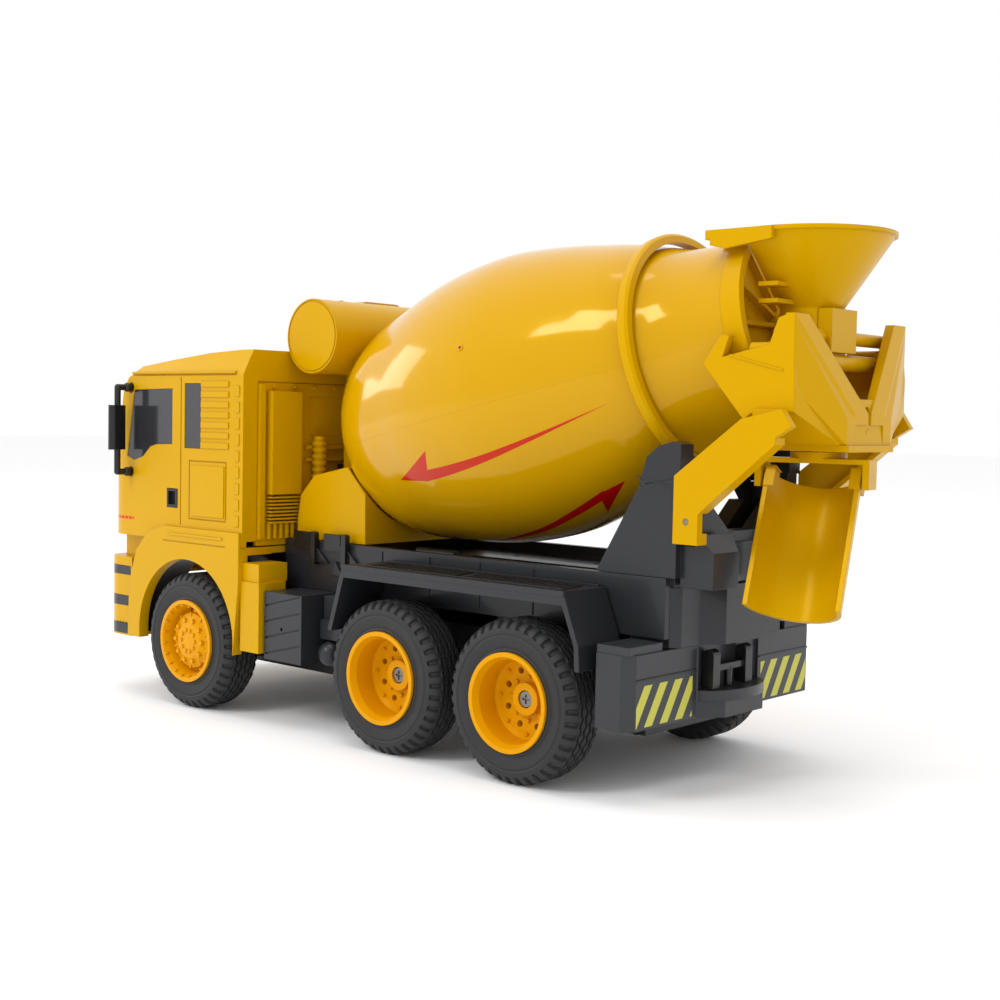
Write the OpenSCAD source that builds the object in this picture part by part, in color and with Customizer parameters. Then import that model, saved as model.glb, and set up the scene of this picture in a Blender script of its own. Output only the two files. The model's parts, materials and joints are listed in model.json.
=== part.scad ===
// Toy cement mixer truck: six wheels, a turning drum, a swinging chute and front steering.
// X runs from the tail (-) to the cab's nose (+), Y to the truck's left, Z up. Millimetres.
// The shapes are drawn from the rear axle forward, and from_rear_axle() centres the truck on X = 0.

/* [Wheels and axles] */
// Tyre outside radius
tyre_r = 31; // [29:0.5:32]
// Tyre width across the tread
tyre_w = 19.5; // [17:0.5:20]
// Radius of the rim's outer lip
rim_r = 18.8; // [17:0.1:20]
// Distance from the truck's centre line to the middle of a tyre
track_half = 56.5; // [56:0.5:57]
// Distance between the two rear axles
tandem_gap = 68; // [66:0.5:72]
// Distance from the middle axle to the steered axle
wheelbase = 128.5; // [127:0.5:130]
// Diameter of the steel wheel shafts
shaft_d = 4; // [3:0.5:4]

/* [Overhangs] */
// From the front axle to the face of the front bumper
front_overhang = 70; // [68:0.5:72]
// From the rear axle back to the lip of the hopper
rear_overhang = 113; // [113:0.5:116]

/* [Drum] */
// Angle the drum's axis rises towards the tail
drum_tilt = 12.77; // [12:0.01:13.5]
// Height of the drum's nose on its axis
nose_z = 123.3; // [122.5:0.1:126]
// Wall thickness of the drum's half shells
drum_wall = 2; // [1.5:0.1:2.5]
// Outside radius of the ring that runs on the rollers
ring_r = 46.2; // [45.5:0.1:46.2]
// Radius of each support roller
roller_r = 5; // [4.5:0.1:5]

/* [Cab] */
// Half the width of the cab
cab_half_w = 65; // [64:0.5:66]
// Height of the roof over the doors
roof_z = 155; // [153:0.5:157]
// Height of the roof's rear edge
roof_rear_z = 164; // [162:0.5:166]
// Wall thickness of the cab moulding
cab_wall = 2.4; // [2:0.1:3]

/* [Body] */
// Height of the flat tops of the rear mudguards
fender_z = 74.7; // [73:0.1:76]
// Half the width over the rear mudguards
fender_half_w = 66.7; // [66:0.1:68]
// Height of the top of the frame rails
rail_z = 80; // [79:0.1:80]
// Radius of the water tank
tank_r = 16.5; // [15:0.5:17]

/* [Chute] */
// Length of the chute's trough
chute_len = 50; // [46:1:54]
// Slope of the chute below level
chute_slope = 66; // [60:1:68]
// How far round to the truck's left the chute points at rest
chute_swing = 78; // [60:1:90]

/* [Hidden] */
$fn = 64;
run_fit = 0.08;

overall_l = rear_overhang + tandem_gap + wheelbase + front_overhang;
rear_axle_x = rear_overhang - overall_l / 2;
mid_x = tandem_gap;
front_x = tandem_gap + wheelbase;
nose_face_x = front_x + front_overhang;
axle_z = tyre_r;
shaft_r = shaft_d / 2;
bush_r = shaft_r + run_fit;
tyre_in_y = track_half - tyre_w / 2;

nose_x = 138.6;
// Drum radius at each station along its axis, from the nose to the mouth
drum_st = [0, 3, 8, 15, 27, 40, 54.3, 68, 81.4, 95, 108.5, 122, 135.6, 149, 162.8, 177, 190, 213];
drum_rad = [9, 19, 29, 37.5, 46.1, 50.8, 53.9, 56.9, 58.8, 59.5, 59.1, 57, 54.1, 50.6, 46.7, 41.3, 37, 35];
mouth_s = drum_st[17];
mouth_r = drum_rad[17];
ring_s = 177.2;
ring_w = 5;
collar_w = 8;
collar_r = 35.6;
seam_angle = 98;

tray_half_w = 26;
tray_floor_z = 18;
tray_top_z = 50;
tray_x0 = -34;
tray_x1 = 226;
tray_wall = 2.5;
roller_angle = 30;
roller_dist = ring_r + roller_r + 0.15;
pinion_teeth = 10;
drum_teeth = 30;
gear_mod = 0.65;
pinion_dist = gear_mod * (pinion_teeth + drum_teeth) / 2 + 0.12;
cab_rear_x = 158;
cab_front_x = 257;
arch_r = 35.5;
mirror_x = 243;
mirror_zs = [107, 147];
mirror_pivot_y = cab_half_w + 1;
tread_z = [28.4, 42, 57];
tread_h = [5.2, 5, 4.4];
tank_x = 142;
tank_z = 170.5;
peak_z = 173;
floor_z = 129;
hopper_r = 30;
hopper_x = hopper_r - rear_overhang;
hopper_rim_z = 204;
hopper_neck_z = 177;
neck_r = 12;
swivel_x = -88.5;
neck_bore_r = 7;
chute_pin_z = 117;
chute_pin_off = 4;
ear_y = 18.4;
trough_r = 17.5;
trough_drop = 3;
groove_r = tyre_r - 1.1;
kingpin_y = 42;
steer_arm = 14;
screw_spots = [[-26, -18], [-26, 18], [92, -21.6], [92, 21.6], [214, -18], [214, 18]];

yellow = [0.93, 0.68, 0.02];
dark = [0.22, 0.23, 0.25];
black = [0.06, 0.06, 0.07];
grey = [0.42, 0.43, 0.46];
steel = [0.72, 0.73, 0.75];
green = [0.06, 0.32, 0.16];
smoke = [0.16, 0.17, 0.19];

// ---------- shared shapes ----------

module from_rear_axle() {
    translate([rear_axle_x, 0, 0]) children();
}

module box(x0, x1, y0, y1, z0, z1) {
    translate([x0, y0, z0]) cube([x1 - x0, y1 - y0, z1 - z0]);
}

// Prism drawn in the X-Z plane and pushed from y0 to y1
module side_prism(pts, y0, y1) {
    translate([0, y1, 0]) rotate([90, 0, 0]) linear_extrude(y1 - y0) polygon(pts);
}

// Prism drawn in the Y-Z plane and pushed from x0 to x1
module cross_prism(pts, x0, x1) {
    translate([x0, 0, 0]) rotate([90, 0, 90]) linear_extrude(x1 - x0) polygon(pts);
}

module rod_y(r, x, z, y0, y1) {
    translate([x, y1, z]) rotate([90, 0, 0]) cylinder(h = y1 - y0, r = r);
}

module rod_x(r, y, z, x0, x1) {
    translate([x0, y, z]) rotate([0, 90, 0]) cylinder(h = x1 - x0, r = r);
}

module both_sides() {
    children();
    mirror([0, 1, 0]) children();
}

// Puts a shape on the drum's axis: local Z runs from the nose to the mouth, local X is up
module on_drum_axis() {
    translate([nose_x, 0, nose_z]) rotate([0, drum_tilt - 90, 0]) children();
}

// Everything the spinning drum sweeps, grown by gap
module drum_sweep(gap) {
    on_drum_axis() {
        rotate_extrude() polygon(concat(
            [[0, -gap]],
            [for (i = [0:17]) [drum_rad[i] + gap, drum_st[i]]],
            [[0, mouth_s]]
        ));
        translate([0, 0, ring_s - ring_w / 2 - gap]) cylinder(h = ring_w + 2 * gap, r = ring_r + gap);
        translate([0, 0, mouth_s - gap]) cylinder(h = collar_w + 2 * gap, r = collar_r + gap);
    }
}

// Involute-like spur gear with straight-sided teeth, hub bore given
module spur(teeth, mod, h, bore_r) {
    pitch = teeth * mod / 2;
    step = 360 / teeth;
    difference() {
        union() {
            cylinder(h = h, r = pitch - 1.2 * mod);
            for (i = [0:teeth - 1]) rotate(i * step) linear_extrude(h) polygon([
                [pitch - 1.5 * mod, -0.95 * mod], [pitch, -0.68 * mod], [pitch + 0.85 * mod, -0.3 * mod],
                [pitch + 0.85 * mod, 0.3 * mod], [pitch, 0.68 * mod], [pitch - 1.5 * mod, 0.95 * mod]
            ]);
        }
        translate([0, 0, -1]) cylinder(h = h + 2, r = bore_r);
    }
}

// ---------- chassis ----------

module chassis_tray() {
    color(dark) from_rear_axle() {
        tray_tub();
        // steering beam: two lugs tied by webs
        difference() {
            union() {
                box(192, 201, -44.5, 44.5, 20.4, 22);
                box(192, 201, -44.5, 44.5, 41, 44);
                for (y = [-36, -12, 8, 32]) box(192, 201, y, y + 4, 20.4, 44);
            }
            both_sides() translate([front_x, kingpin_y, 15]) cylinder(h = 40, r = 2 + run_fit);
        }
    }
}

module tray_tub() {
    difference() {
        box(tray_x0, tray_x1, -tray_half_w, tray_half_w, tray_floor_z, tray_top_z);
        box(tray_x0 + tray_wall, 171, -tray_half_w + tray_wall, tray_half_w - tray_wall,
            tray_floor_z + tray_wall, tray_top_z + 1);
        box(173.5, tray_x1 - tray_wall, -tray_half_w - 1, tray_half_w + 1,
            tray_floor_z + tray_wall, tray_top_z + 1);
        for (x = [0, mid_x]) rod_y(bush_r, x, axle_z, -tray_half_w - 1, tray_half_w + 1);
        for (p = screw_spots) translate([p[0], p[1], tray_floor_z - 1]) cylinder(h = tray_wall + 2, r = 1.5);
        // battery bay and switch slot
        box(97, 148, -16, 16, tray_floor_z - 1, tray_floor_z + tray_wall + 1);
        box(157.6, 164.9, -2, 2, tray_floor_z - 1, tray_floor_z + tray_wall + 1);
    }
}

module frame_rails() {
    color(dark) from_rear_axle() {
        both_sides() {
            box(-20, 157, 37.5, 41, 58, rail_z);
            box(-20, 157, 30, 37.5, 58, 60.5);
            box(-52, -19, 38.1, 41, 58, rail_z);
            // sub-rails under the cab
            box(156, 236, 31, 37.6, 62.5, 72.8);
            for (x = [100, 118]) side_prism([[x, 66], [x + 8, 66], [x + 4, 72]], 41, 42.2);
        }
        box(-54, -19.9, -38.2, 38.2, 76.9, rail_z);
        difference() {
            box(-20, 157, -37.6, 37.6, 72, 74.5);
            box(-5, 18, -16, 16, 71, 75);
            for (x = [30, 75, 120], y = [-24, 24]) translate([x, y, 71]) cylinder(h = 5, r = 1.6);
        }
        for (x = [-16, 26, 92, 150]) difference() {
            box(x, x + 5, -37.6, 37.6, 50.3, 72.1);
            box(x - 1, x + 6, -20, 20, 54, 68);
        }
    }
}

module fender(side) {
    outer = fender_half_w;
    inner = 42;
    scale([1, side, 1]) {
        difference() {
            side_prism([
                [-33.9, 46.8], [-33.2, 55.9], [-25.8, fender_z], [90.7, fender_z], [99.1, 47.1],
                [96.9, 47.1], [89, fender_z - 2.2], [-24.3, fender_z - 2.2], [-31.2, 55.5], [-31.7, 46.8]
            ], inner, outer);
            box(-10, -6, inner - 1, inner + 3, 60, 80);
        }
        side_prism([
            [-25.8, fender_z], [90.7, fender_z], [92.2, fender_z - 5], [-27.8, fender_z - 5]
        ], outer - 2, outer);
        for (x = [-20:2.4:82]) if (x < 30 || x > 34)
            translate([x, (inner + outer) / 2, fender_z]) rotate([0, 0, 14])
                translate([-0.5, -8.5, -0.2]) cube([1, 17, 0.8]);
    }
}

module rear_fender_left() {
    color(dark) from_rear_axle() fender(1);
}

module rear_fender_right() {
    color(dark) from_rear_axle() fender(-1);
}

// Axis of one support roller, parallel to the drum's axis
module at_roller(side) {
    on_drum_axis() rotate([0, 0, 180 - side * roller_angle]) translate([roller_dist, 0, 0]) children();
}

module drum_pedestal() {
    color(dark) from_rear_axle() difference() {
        union() {
            both_sides() {
                side_prism([
                    [-20.4, rail_z + 0.2], [-39.2, 112.6], [-56, 116.6], [-56, rail_z + 0.2]
                ], 34, 41);
                side_prism([[-62, 77], [-62, 96], [-70, 90], [-70, 77]], 14, 38);
                box(-62, -56, 34, 38, 77, 92);
                // rounded caps beside the drum's ring
                side_prism([
                    [-39.3, 112.9], [-42.6, 123.5], [-48, 127.4], [-54, 129], [-57.2, 128], [-57.2, 116.5]
                ], 33.4, 41.2);
            }
            box(-62, -56, -34, 34, 77, 92);
            // cross bridges and ears that carry the rollers
            for (x = [-44, -58]) cross_prism([
                [-34.2, 84], [34.2, 84], [34.2, 106], [22, 106], [10, 96], [-10, 96], [-22, 106], [-34.2, 106]
            ], x, x + 7);
            for (s = [-1, 1]) at_roller(s) for (st = [168.5, 182.4])
                translate([-3.2, -4.5, st]) cube([22, 9, 3]);
        }
        translate([-86, 0, 70]) cylinder(h = 50, r = 27);
        drum_sweep(0.9);
        for (s = [-1, 1]) at_roller(s) {
            translate([0, 0, 164]) cylinder(h = 26, r = 1.5 + run_fit);
            translate([0, 0, ring_s - 5]) cylinder(h = 10, r = roller_r + 0.6);
        }
    }
}

module rear_crossmember() {
    color(dark) from_rear_axle() difference() {
        translate([0, 0, 54.6]) linear_extrude(22) polygon([
            [-34.5, -38], [-34.5, 38], [-52, 38], [-54.5, 34], [-54.5, 22], [-60.5, 14],
            [-60.5, -14], [-54.5, -22], [-54.5, -34], [-52, -38]
        ]);
        box(-52, -36, -30, 30, 57, 72);
    }
}

module rear_bumper() {
    bumper_plan = [
        [-38, 62.4], [-49, 62.4], [-52.8, 58.5], [-52.8, 21], [-60.5, 13], [-60.5, -13],
        [-52.8, -21], [-52.8, -58.5], [-49, -62.4], [-38, -62.4], [-38, -59.6], [-40.8, -59.6],
        [-48, -59.6], [-50, -57.4], [-50, -20], [-50, 20], [-50, 57.4], [-48, 59.6], [-38, 59.6]
    ];
    color(dark) from_rear_axle() {
        difference() {
            union() {
                translate([0, 0, 27.2]) linear_extrude(27) polygon(bumper_plan);
                both_sides() box(-52, -38, 42, 62, 54.2, 57.2);
                both_sides() box(-50.5, -34.2, 20, 24, 30, 50);
            }
            // pocket for the tow hitch
            box(-62, -52, -20.5, 20.5, 37.4, 60);
        }
        translate([-52.5, 0, 33.4]) scale([0.5, 1, 1]) cylinder(h = 4, r = 20.5);
    }
}

module tow_hitch() {
    color(black) from_rear_axle() {
        for (y = [13, -9]) {
            box(-57.8, -53, y, y + 4.5, 37.8, 50);
            rod_y(2.4, -55.4, 50, y, y + 4.5);
        }
        box(-56.8, -54.2, -6, 14, 44, 46.4);
        translate([-55.5, 4, 37.8]) cylinder(h = 7, r = 1.6);
    }
}

module drum_support() {
    color(yellow) from_rear_axle() difference() {
        union() {
            difference() {
                side_prism([
                    [107.8, 80.3], [108.2, 101.8], [119.8, 113.3], [141.4, 108.8],
                    [150.4, 99.6], [152.4, 88.7], [152.4, 80.3]
                ], -38, 38);
                side_prism([
                    [110.8, 75], [111, 100.6], [120.6, 110], [140, 106], [147.6, 98.6], [149.6, 88.7], [149.6, 75]
                ], -35.4, 35.4);
            }
            box(144.6, 149.8, -13, 13, 84, 138);
            box(112, 144.6, -37, -34, 80.3, 84);
            box(112, 144.6, 34, 37, 80.3, 84);
        }
        drum_sweep(1.2);
        on_drum_axis() translate([0, 0, -20]) cylinder(h = 30, r = 3 + run_fit);
        on_drum_axis() translate([0, 0, -6.4]) cylinder(h = 8, r = 11.5);
        at_pinion() translate([0, 0, -6.4]) cylinder(h = 8, r = 5);
        at_pinion() translate([0, 0, -20]) cylinder(h = 30, r = 1.2 + run_fit);
    }
}

// Axis of the drum motor's pinion, straight below the drum's nose gear

module at_pinion() {
    on_drum_axis() translate([-pinion_dist, 0, 0]) children();
}

module side_posts() {
    color(black) from_rear_axle() both_sides() for (x = [114, 134]) {
        box(x, x + 3, 41.3, 44, 70, 83);
        translate([x + 1.5, 44, 83]) rotate([90, 0, 0]) cylinder(h = 2.7, r = 1.5);
        side_prism([[x, 71], [x - 7, 71], [x, 77]], 41.3, 42.6);
        box(x + 4.5, x + 15, 41.3, 43, 79, 84);
        box(x, x + 15, 41.3, 43, 76.5, 79);
    }
}

// ---------- cab ----------

// Side outline of the cab above the wheel arch
function cab_outline(inset) = [
    [cab_rear_x + inset, 76.6 + inset], [cab_rear_x + inset, roof_rear_z - inset],
    [cab_rear_x + 8, roof_rear_z - inset], [cab_rear_x + 30, roof_rear_z - 1.2 - inset],
    [cab_rear_x + 55, roof_rear_z - 4 - inset], [cab_rear_x + 78, roof_z + 2 - inset],
    [cab_front_x - 12 - inset / 2, roof_z - 3.5 - inset], [cab_front_x - 8 - inset, roof_z - 9],
    [cab_front_x - 2 - inset, 113], [cab_front_x + 3 - inset, 106],
    [cab_front_x + 6 - inset, 95], [cab_front_x + 6 - inset, 76.6 + inset]
];

// Cross section of the cab with its slanting roof edges, drawn in by inset
module roof_section(inset) {
    w = cab_half_w - inset;
    cross_prism([
        [-w, 70], [-w, roof_z - 2 - inset], [-w + 3, roof_z + 4 - inset], [-w + 9, 170 - inset],
        [w - 9, 170 - inset], [w - 3, roof_z + 4 - inset], [w, roof_z - 2 - inset], [w, 70]
    ], 150, 270);
}

module cab_shell() {
    color(yellow) from_rear_axle() difference() {
        intersection() {
            side_prism(cab_outline(0), -cab_half_w, cab_half_w);
            // rounded front corners
            union() {
                box(cab_rear_x, 249, -cab_half_w, cab_half_w, 70, 170);
                both_sides() translate([249, cab_half_w - 14, 70]) cylinder(h = 100, r = 14);
                box(240, 264, -cab_half_w + 14, cab_half_w - 14, 70, 170);
            }
            // slanting roof edges
            roof_section(0);
        }
        // inside
        intersection() {
            side_prism(cab_outline(cab_wall), -cab_half_w + cab_wall, cab_half_w - cab_wall);
            box(cab_rear_x + cab_wall, 247, -cab_half_w + cab_wall, cab_half_w - cab_wall, 70, 170);
            roof_section(cab_wall);
        }
        box(cab_rear_x - 1, 243, -cab_half_w + cab_wall, cab_half_w - cab_wall, 70, 76.6 + cab_wall + 0.1);
        // recess for the rear wall moulding
        box(cab_rear_x - 1, cab_rear_x + cab_wall + 0.1, -57, 57, 70, 150);
        both_sides() {
            // door and side windows
            side_prism(door_window_outline(0), cab_half_w - 1.5, cab_half_w + 1);
            side_prism(rear_window_outline(0), cab_half_w - 1.5, cab_half_w + 1);
            // door seam and locker seam
            box(203, 203.6, cab_half_w - 0.5, cab_half_w + 1, 84, 152);
            for (z = [87, 113.4]) box(169.5, 197, cab_half_w - 0.5, cab_half_w + 1, z, z + 0.6);
            for (x = [169.5, 196.4]) box(x, x + 0.6, cab_half_w - 0.5, cab_half_w + 1, 87, 114);
            box(163, cab_front_x - 6, cab_half_w - 0.5, cab_half_w + 1, 152.6, 153.2);
            // handle pocket
            box(205.5, 213.8, cab_half_w - 2, cab_half_w + 1, 91.6, 100.5);
            // mirror sockets
            for (z = mirror_zs) translate([mirror_x, cab_half_w - 1.5, z]) rotate([-90, 0, 0])
                cylinder(h = 4, r = 2.4);
        }
        // windscreen opening
        box(246, 262, -50, 50, 116, 146);
    }
}

function door_window_outline(grow) = [
    [240.5 + grow, 146 + grow], [210 - grow, 146.6 + grow], [210 - grow, 121 - grow],
    [222, 120.6 - grow], [227, 119.5 - grow], [233, 114.6 - grow], [240, 112.6 - grow], [246 + grow, 114.6 - grow]
];

function rear_window_outline(grow) = [
    [200.6 + grow, 119.4 - grow], [200.6 + grow, 149 + grow], [188.4 - grow, 149 + grow], [188.4 - grow, 119.4 - grow]
];

module cab_windows() {
    color(smoke) from_rear_axle() {
        both_sides() {
            side_prism(door_window_outline(-0.15), cab_half_w - 1.5, cab_half_w - 0.3);
            side_prism(rear_window_outline(-0.15), cab_half_w - 1.5, cab_half_w - 0.3);
        }
        side_prism([[248.3, 146], [247, 146], [252.5, 116.2], [253.8, 116.2]], -49.8, 49.8);
    }
}

module cab_rear_wall() {
    color(yellow) from_rear_axle() {
        difference() {
            box(cab_rear_x + 0.2, cab_rear_x + 2.4, -56.8, 56.8, 77, 149.8);
            both_sides() box(cab_rear_x - 0.5, cab_rear_x + 0.8, 4, 27, 126, 144);
        }
        both_sides() {
            box(cab_rear_x - 2, cab_rear_x + 0.6, 54, 56.8, 80, 149);
            // tall intake box with louvres and pipes under it
            box(cab_rear_x - 4.6, cab_rear_x + 0.6, 35, 52, 100, 146);
            for (i = [0:7]) box(cab_rear_x - 4, cab_rear_x + 0.6, 35, 52, 87 + i * 1.6, 87.8 + i * 1.6);
            for (i = [0:4]) translate([cab_rear_x - 0.6, 37 + i * 3.4, 80]) cylinder(h = 7.4, r = 1.2);
        }
        box(cab_rear_x - 1.6, cab_rear_x + 0.6, -30, 30, 120, 122);
        box(cab_rear_x - 1.6, cab_rear_x + 0.6, -30, 30, 114.6, 116);
        // pipes with rounded bends
        for (y = [-20, -10, 14, 30]) rod_x(1, y, 99, cab_rear_x - 1.6, cab_rear_x + 0.6);
        for (y = [-20, -10, 14, 30]) translate([cab_rear_x - 0.6, y, 78]) cylinder(h = 21, r = 1);
        // ribbed air hose
        for (i = [0:6]) translate([cab_rear_x - 3.6, 24, 104 + i * 3]) cylinder(h = 1.8, r = 3.4);
        translate([cab_rear_x - 3.6, 24, 103]) cylinder(h = 23, r = 2.8);
        box(cab_rear_x - 3, cab_rear_x + 0.3, 22.5, 25.5, 103, 106);
    }
}

module cab_lower() {
    color(yellow) from_rear_axle() {
        both_sides() {
            difference() {
                union() {
                    // mudguard band round the front wheel
                    side_prism([
                        [158.5, 60], [158.5, 83], [214, 83], [226, 80], [236, 70], [241.5, 54], [242.5, 28.6], [225, 28.6], [162, 28.6]
                    ], 61.5, 66.6);
                    // rear leg with its stepped ledges
                    box(146, 158.8, 50, 65, 31, 62);
                    box(147.4, 158.8, 48, 64, 62, 70);
                }
                rod_y(arch_r, front_x + 1, axle_z + 2, 40, 70);
                box(162.4, 231, 40, 70, 20, 40);
                box(150, 245, 60, 65.1, 76.5, 90);
                box(168, 214, 66.2, 67, 76, 76.6);
            }
            // top of the wheel housing, under the cab
            box(158.5, 240, 48, 61.5, 73, 76.4);
        }
        box(158.5, 240, -48, 48, 73.4, 76.4);
        box(242.6, 258, -57, 57, 65.7, 76.4);
    }
}

// Bumper outline seen from above, with rounded corners
module bumper_plan(inset) {
    x1 = nose_face_x - inset;
    w = 64 - inset;
    square_x0 = 243;
    translate([square_x0, -w]) square([x1 - 12 - square_x0, 2 * w]);
    translate([x1 - 12.1, -w + 12]) square([12.1, 2 * w - 24]);
    for (s = [-1, 1]) translate([x1 - 12, s * (w - 12)]) circle(12);
}

module front_bumper() {
    color(yellow) from_rear_axle() difference() {
        translate([0, 0, 27.6]) linear_extrude(38) bumper_plan(0);
        translate([0, 0, 26]) linear_extrude(37) difference() {
            bumper_plan(3.4);
            translate([240, -70]) square([3.4, 140]);
        }
        translate([240, -45, 22]) cube([16, 90, 36]);
        for (i = [0:2]) both_sides() translate([0, 0, tread_z[i]]) linear_extrude(tread_h[i]) tread_plan(0);
        // air intake and lamp openings
        box(262, 270, -34, 34, 34, 54);
        both_sides() box(262, 270, 38, 54, 44, 56);
    }
}

// Ring-shaped step tread let into the bumper's corner
module tread_plan(grow) {
    difference() {
        intersection() {
            bumper_plan(-1 + grow);
            translate([244, 44]) square([20, 30]);
        }
        bumper_plan(1.6 - grow);
    }
}

module step_treads() {
    color(dark) from_rear_axle() both_sides() for (i = [0:2])
        translate([0, 0, tread_z[i] + 0.1]) linear_extrude(tread_h[i] - 0.2) intersection() {
            tread_plan(0);
            bumper_plan(0);
        }
}

module headlamps() {
    color([0.9, 0.9, 0.92]) from_rear_axle() both_sides()
        box(nose_face_x - 3.4, nose_face_x - 1, 38.2, 53.8, 44.2, 55.8);
}

module grille_bars() {
    color(dark) from_rear_axle() {
        for (i = [0:3]) box(nose_face_x - 3.4, nose_face_x - 1, -33.8, 33.8, 34.4 + i * 5, 37 + i * 5);
        for (y = [-33.8, -1.5, 30.8]) box(nose_face_x - 3.4, nose_face_x - 2, y, y + 3, 34.2, 53.8);
        for (i = [0:2]) box(cab_front_x + 6, cab_front_x + 7.2, -44, 44, 80 + i * 8, 84 + i * 8);
    }
}

module door_handles() {
    color(black) from_rear_axle() both_sides() difference() {
        box(205.7, 213.6, cab_half_w - 2, cab_half_w + 0.2, 91.8, 100.3);
        box(207, 212.4, cab_half_w - 1.2, cab_half_w + 1, 93, 99.2);
        box(209, 210.6, cab_half_w - 1.6, cab_half_w + 1, 93, 99.2);
    }
}

module mirror_unit(side) {
    out_y = 72.5;
    scale([1, side, 1]) {
        for (z = mirror_zs) {
            // pivot barrel, half sunk in the cab's socket
            translate([mirror_x, mirror_pivot_y, z - 1.6]) cylinder(h = 3.2, r = 1.9);
            translate([mirror_x, mirror_pivot_y, z]) rotate([-90, 0, 0])
                cylinder(h = out_y - mirror_pivot_y, r = 1.5);
            translate([mirror_x, mirror_pivot_y + 1.2, z]) sphere(2.2);
            translate([mirror_x, out_y, z]) sphere(1.5);
        }
        translate([mirror_x, out_y, mirror_zs[0]]) cylinder(h = mirror_zs[1] - mirror_zs[0], r = 1.5);
        translate([mirror_x, 72.8, 117.5]) rotate([0, 0, 25]) {
            translate([-2.2, -3.4, 0]) cube([4.4, 6.8, 21]);
            for (y = [-3.4, 3.4]) translate([0, y, 0]) cylinder(h = 21, r = 2.2);
        }
    }
}

module mirror_left() {
    color(black) from_rear_axle() mirror_unit(1);
}

module mirror_right() {
    color(black) from_rear_axle() mirror_unit(-1);
}

module roof_intake() {
    color(yellow) from_rear_axle() {
        difference() {
            union() {
                box(162, 176, -34, -8, roof_rear_z + 0.2, 187);
                box(162, 176, -31, -11, 187, 190);
                for (y = [-31, -11]) rod_x(3, y, 187, 162, 176);
            }
            box(164, 174, -32, -10, 160, 185);
        }
        for (i = [0:6]) box(161.2, 162, -31 + i * 3.2, -29.4 + i * 3.2, 168, 184);
    }
}

module water_tank() {
    color(yellow) from_rear_axle() {
        difference() {
            rod_y(tank_r, tank_x, tank_z, -40, 40);
            // hollow, with a recess where the drum turns behind it
            difference() {
                rod_y(tank_r - 1.8, tank_x, tank_z, -38, 38);
                drum_sweep(3);
            }
            drum_sweep(1.2);
            both_sides() difference() {
                rod_y(tank_r - 0.6, tank_x, tank_z, 39.6, 41);
                rod_y(tank_r - 1.4, tank_x, tank_z, 39, 42);
            }
        }
        // feet that reach the drum support's upright
        difference() {
            for (y = [-12, 8]) box(145, 149.6, y, y + 4, 138.2, 165);
            rod_y(tank_r - 0.6, tank_x, tank_z, -39, 39);
        }
    }
}

module side_boxes() {
    color(grey) from_rear_axle() {
        both_sides() difference() {
            box(120, 144.5, 43, 63, 29, 58.6);
            for (i = [0:3]) translate([0, 63, 31 + i * 7]) rotate([90, 0, 0]) linear_extrude(0.6)
                polygon([[121, 5.6], [144, 0], [144, 0.8], [121, 6.4]]);
            translate([133, 61, 43]) rotate([-90, 0, 0]) cylinder(h = 5, r = 0.8);
            box(122.5, 142, 45.5, 60.5, 28, 56);
        }
        both_sides() for (x = [124, 138]) box(x, x + 3, 41.2, 43, 50, 58);
    }
}

module air_tanks() {
    color(grey) from_rear_axle() both_sides() {
        box(104, 118, 43, 52, 48.4, 58.4);
        side_prism([[104, 48.4], [118, 48.4], [118, 40], [101, 40], [101, 44]], 43, 54);
        rod_y(5.2, 112.6, 34, 43, 53);
        translate([112.6, 53, 34]) sphere(5.2);
        rod_y(4.4, 104.2, 34.6, 43, 52);
        translate([104.2, 52, 34.6]) sphere(4.4);
        box(103, 112, 43, 46, 34, 40.4);
    }
}

// ---------- discharge end ----------

module collector() {
    color(yellow) from_rear_axle() difference() {
        union() {
            both_sides() {
                // upper flank beside the drum's mouth, with its hooked front edge
                side_prism([
                    [-64.5, 156.5], [-71.8, 166.3], [-75, 165.8], [-72.4, 158.6], [-91, 162.7], [-94.3, 171.5],
                    [-99, peak_z], [-101, 153], [-101, 147], [-84, 139], [-81.7, 137]
                ], 37, 40);
                // lower flank, drawn in towards the chute
                hull() {
                    box(-101, -84, 37, 40, 140, 149);
                    box(-106, -81, 14, 17, floor_z, floor_z + 2);
                }
                // sloping leg of the V-shaped end plate
                hull() {
                    box(-100.5, -97, 31, 40, 163, peak_z);
                    box(-108, -105, 1, 11, floor_z + 7, floor_z + 11);
                }
                hull() {
                    box(-100.5, -97.5, 37, 40, 148, 170);
                    box(-108, -105, 10, 16, floor_z, floor_z + 9);
                }
            }
            box(-109, -80, -16.5, 16.5, floor_z - 2.4, floor_z);
            side_prism([[-108, floor_z], [-105, floor_z], [-104, floor_z + 16], [-106.5, floor_z + 16]], -12, 12);
        }
        drum_sweep(0.9);
        translate([-110, 0, floor_z + 12]) rotate([0, 90, 0]) cylinder(h = 10, r = 1.5);
        // drain that carries the chute's swivel neck
        translate([swivel_x, 0, floor_z - 4]) cylinder(h = 6, r = neck_bore_r);
    }
}

module support_arms() {
    color(yellow) from_rear_axle() both_sides() difference() {
        union() {
            side_prism([
                [-56.6, 93], [-56.6, 117], [-83.4, 137.4], [-99, 141], [-103, 135],
                [-97, 131.4], [-67, 106.4], [-67, 93]
            ], 41.3, 44.3);
            side_prism([[-67, 106.4], [-97, 131.4], [-97, 129], [-67, 104]], 38.2, 44.3);
            box(-67, -57, 38.3, 44.3, 93, 97);
            // pad against the collector's flank
            box(-97, -86, 40.1, 41.4, 136, 141);
        }
        translate([-62, 35, 101]) rotate([-90, 0, 0]) cylinder(h = 12, r = 1.2);
    }
}

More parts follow.
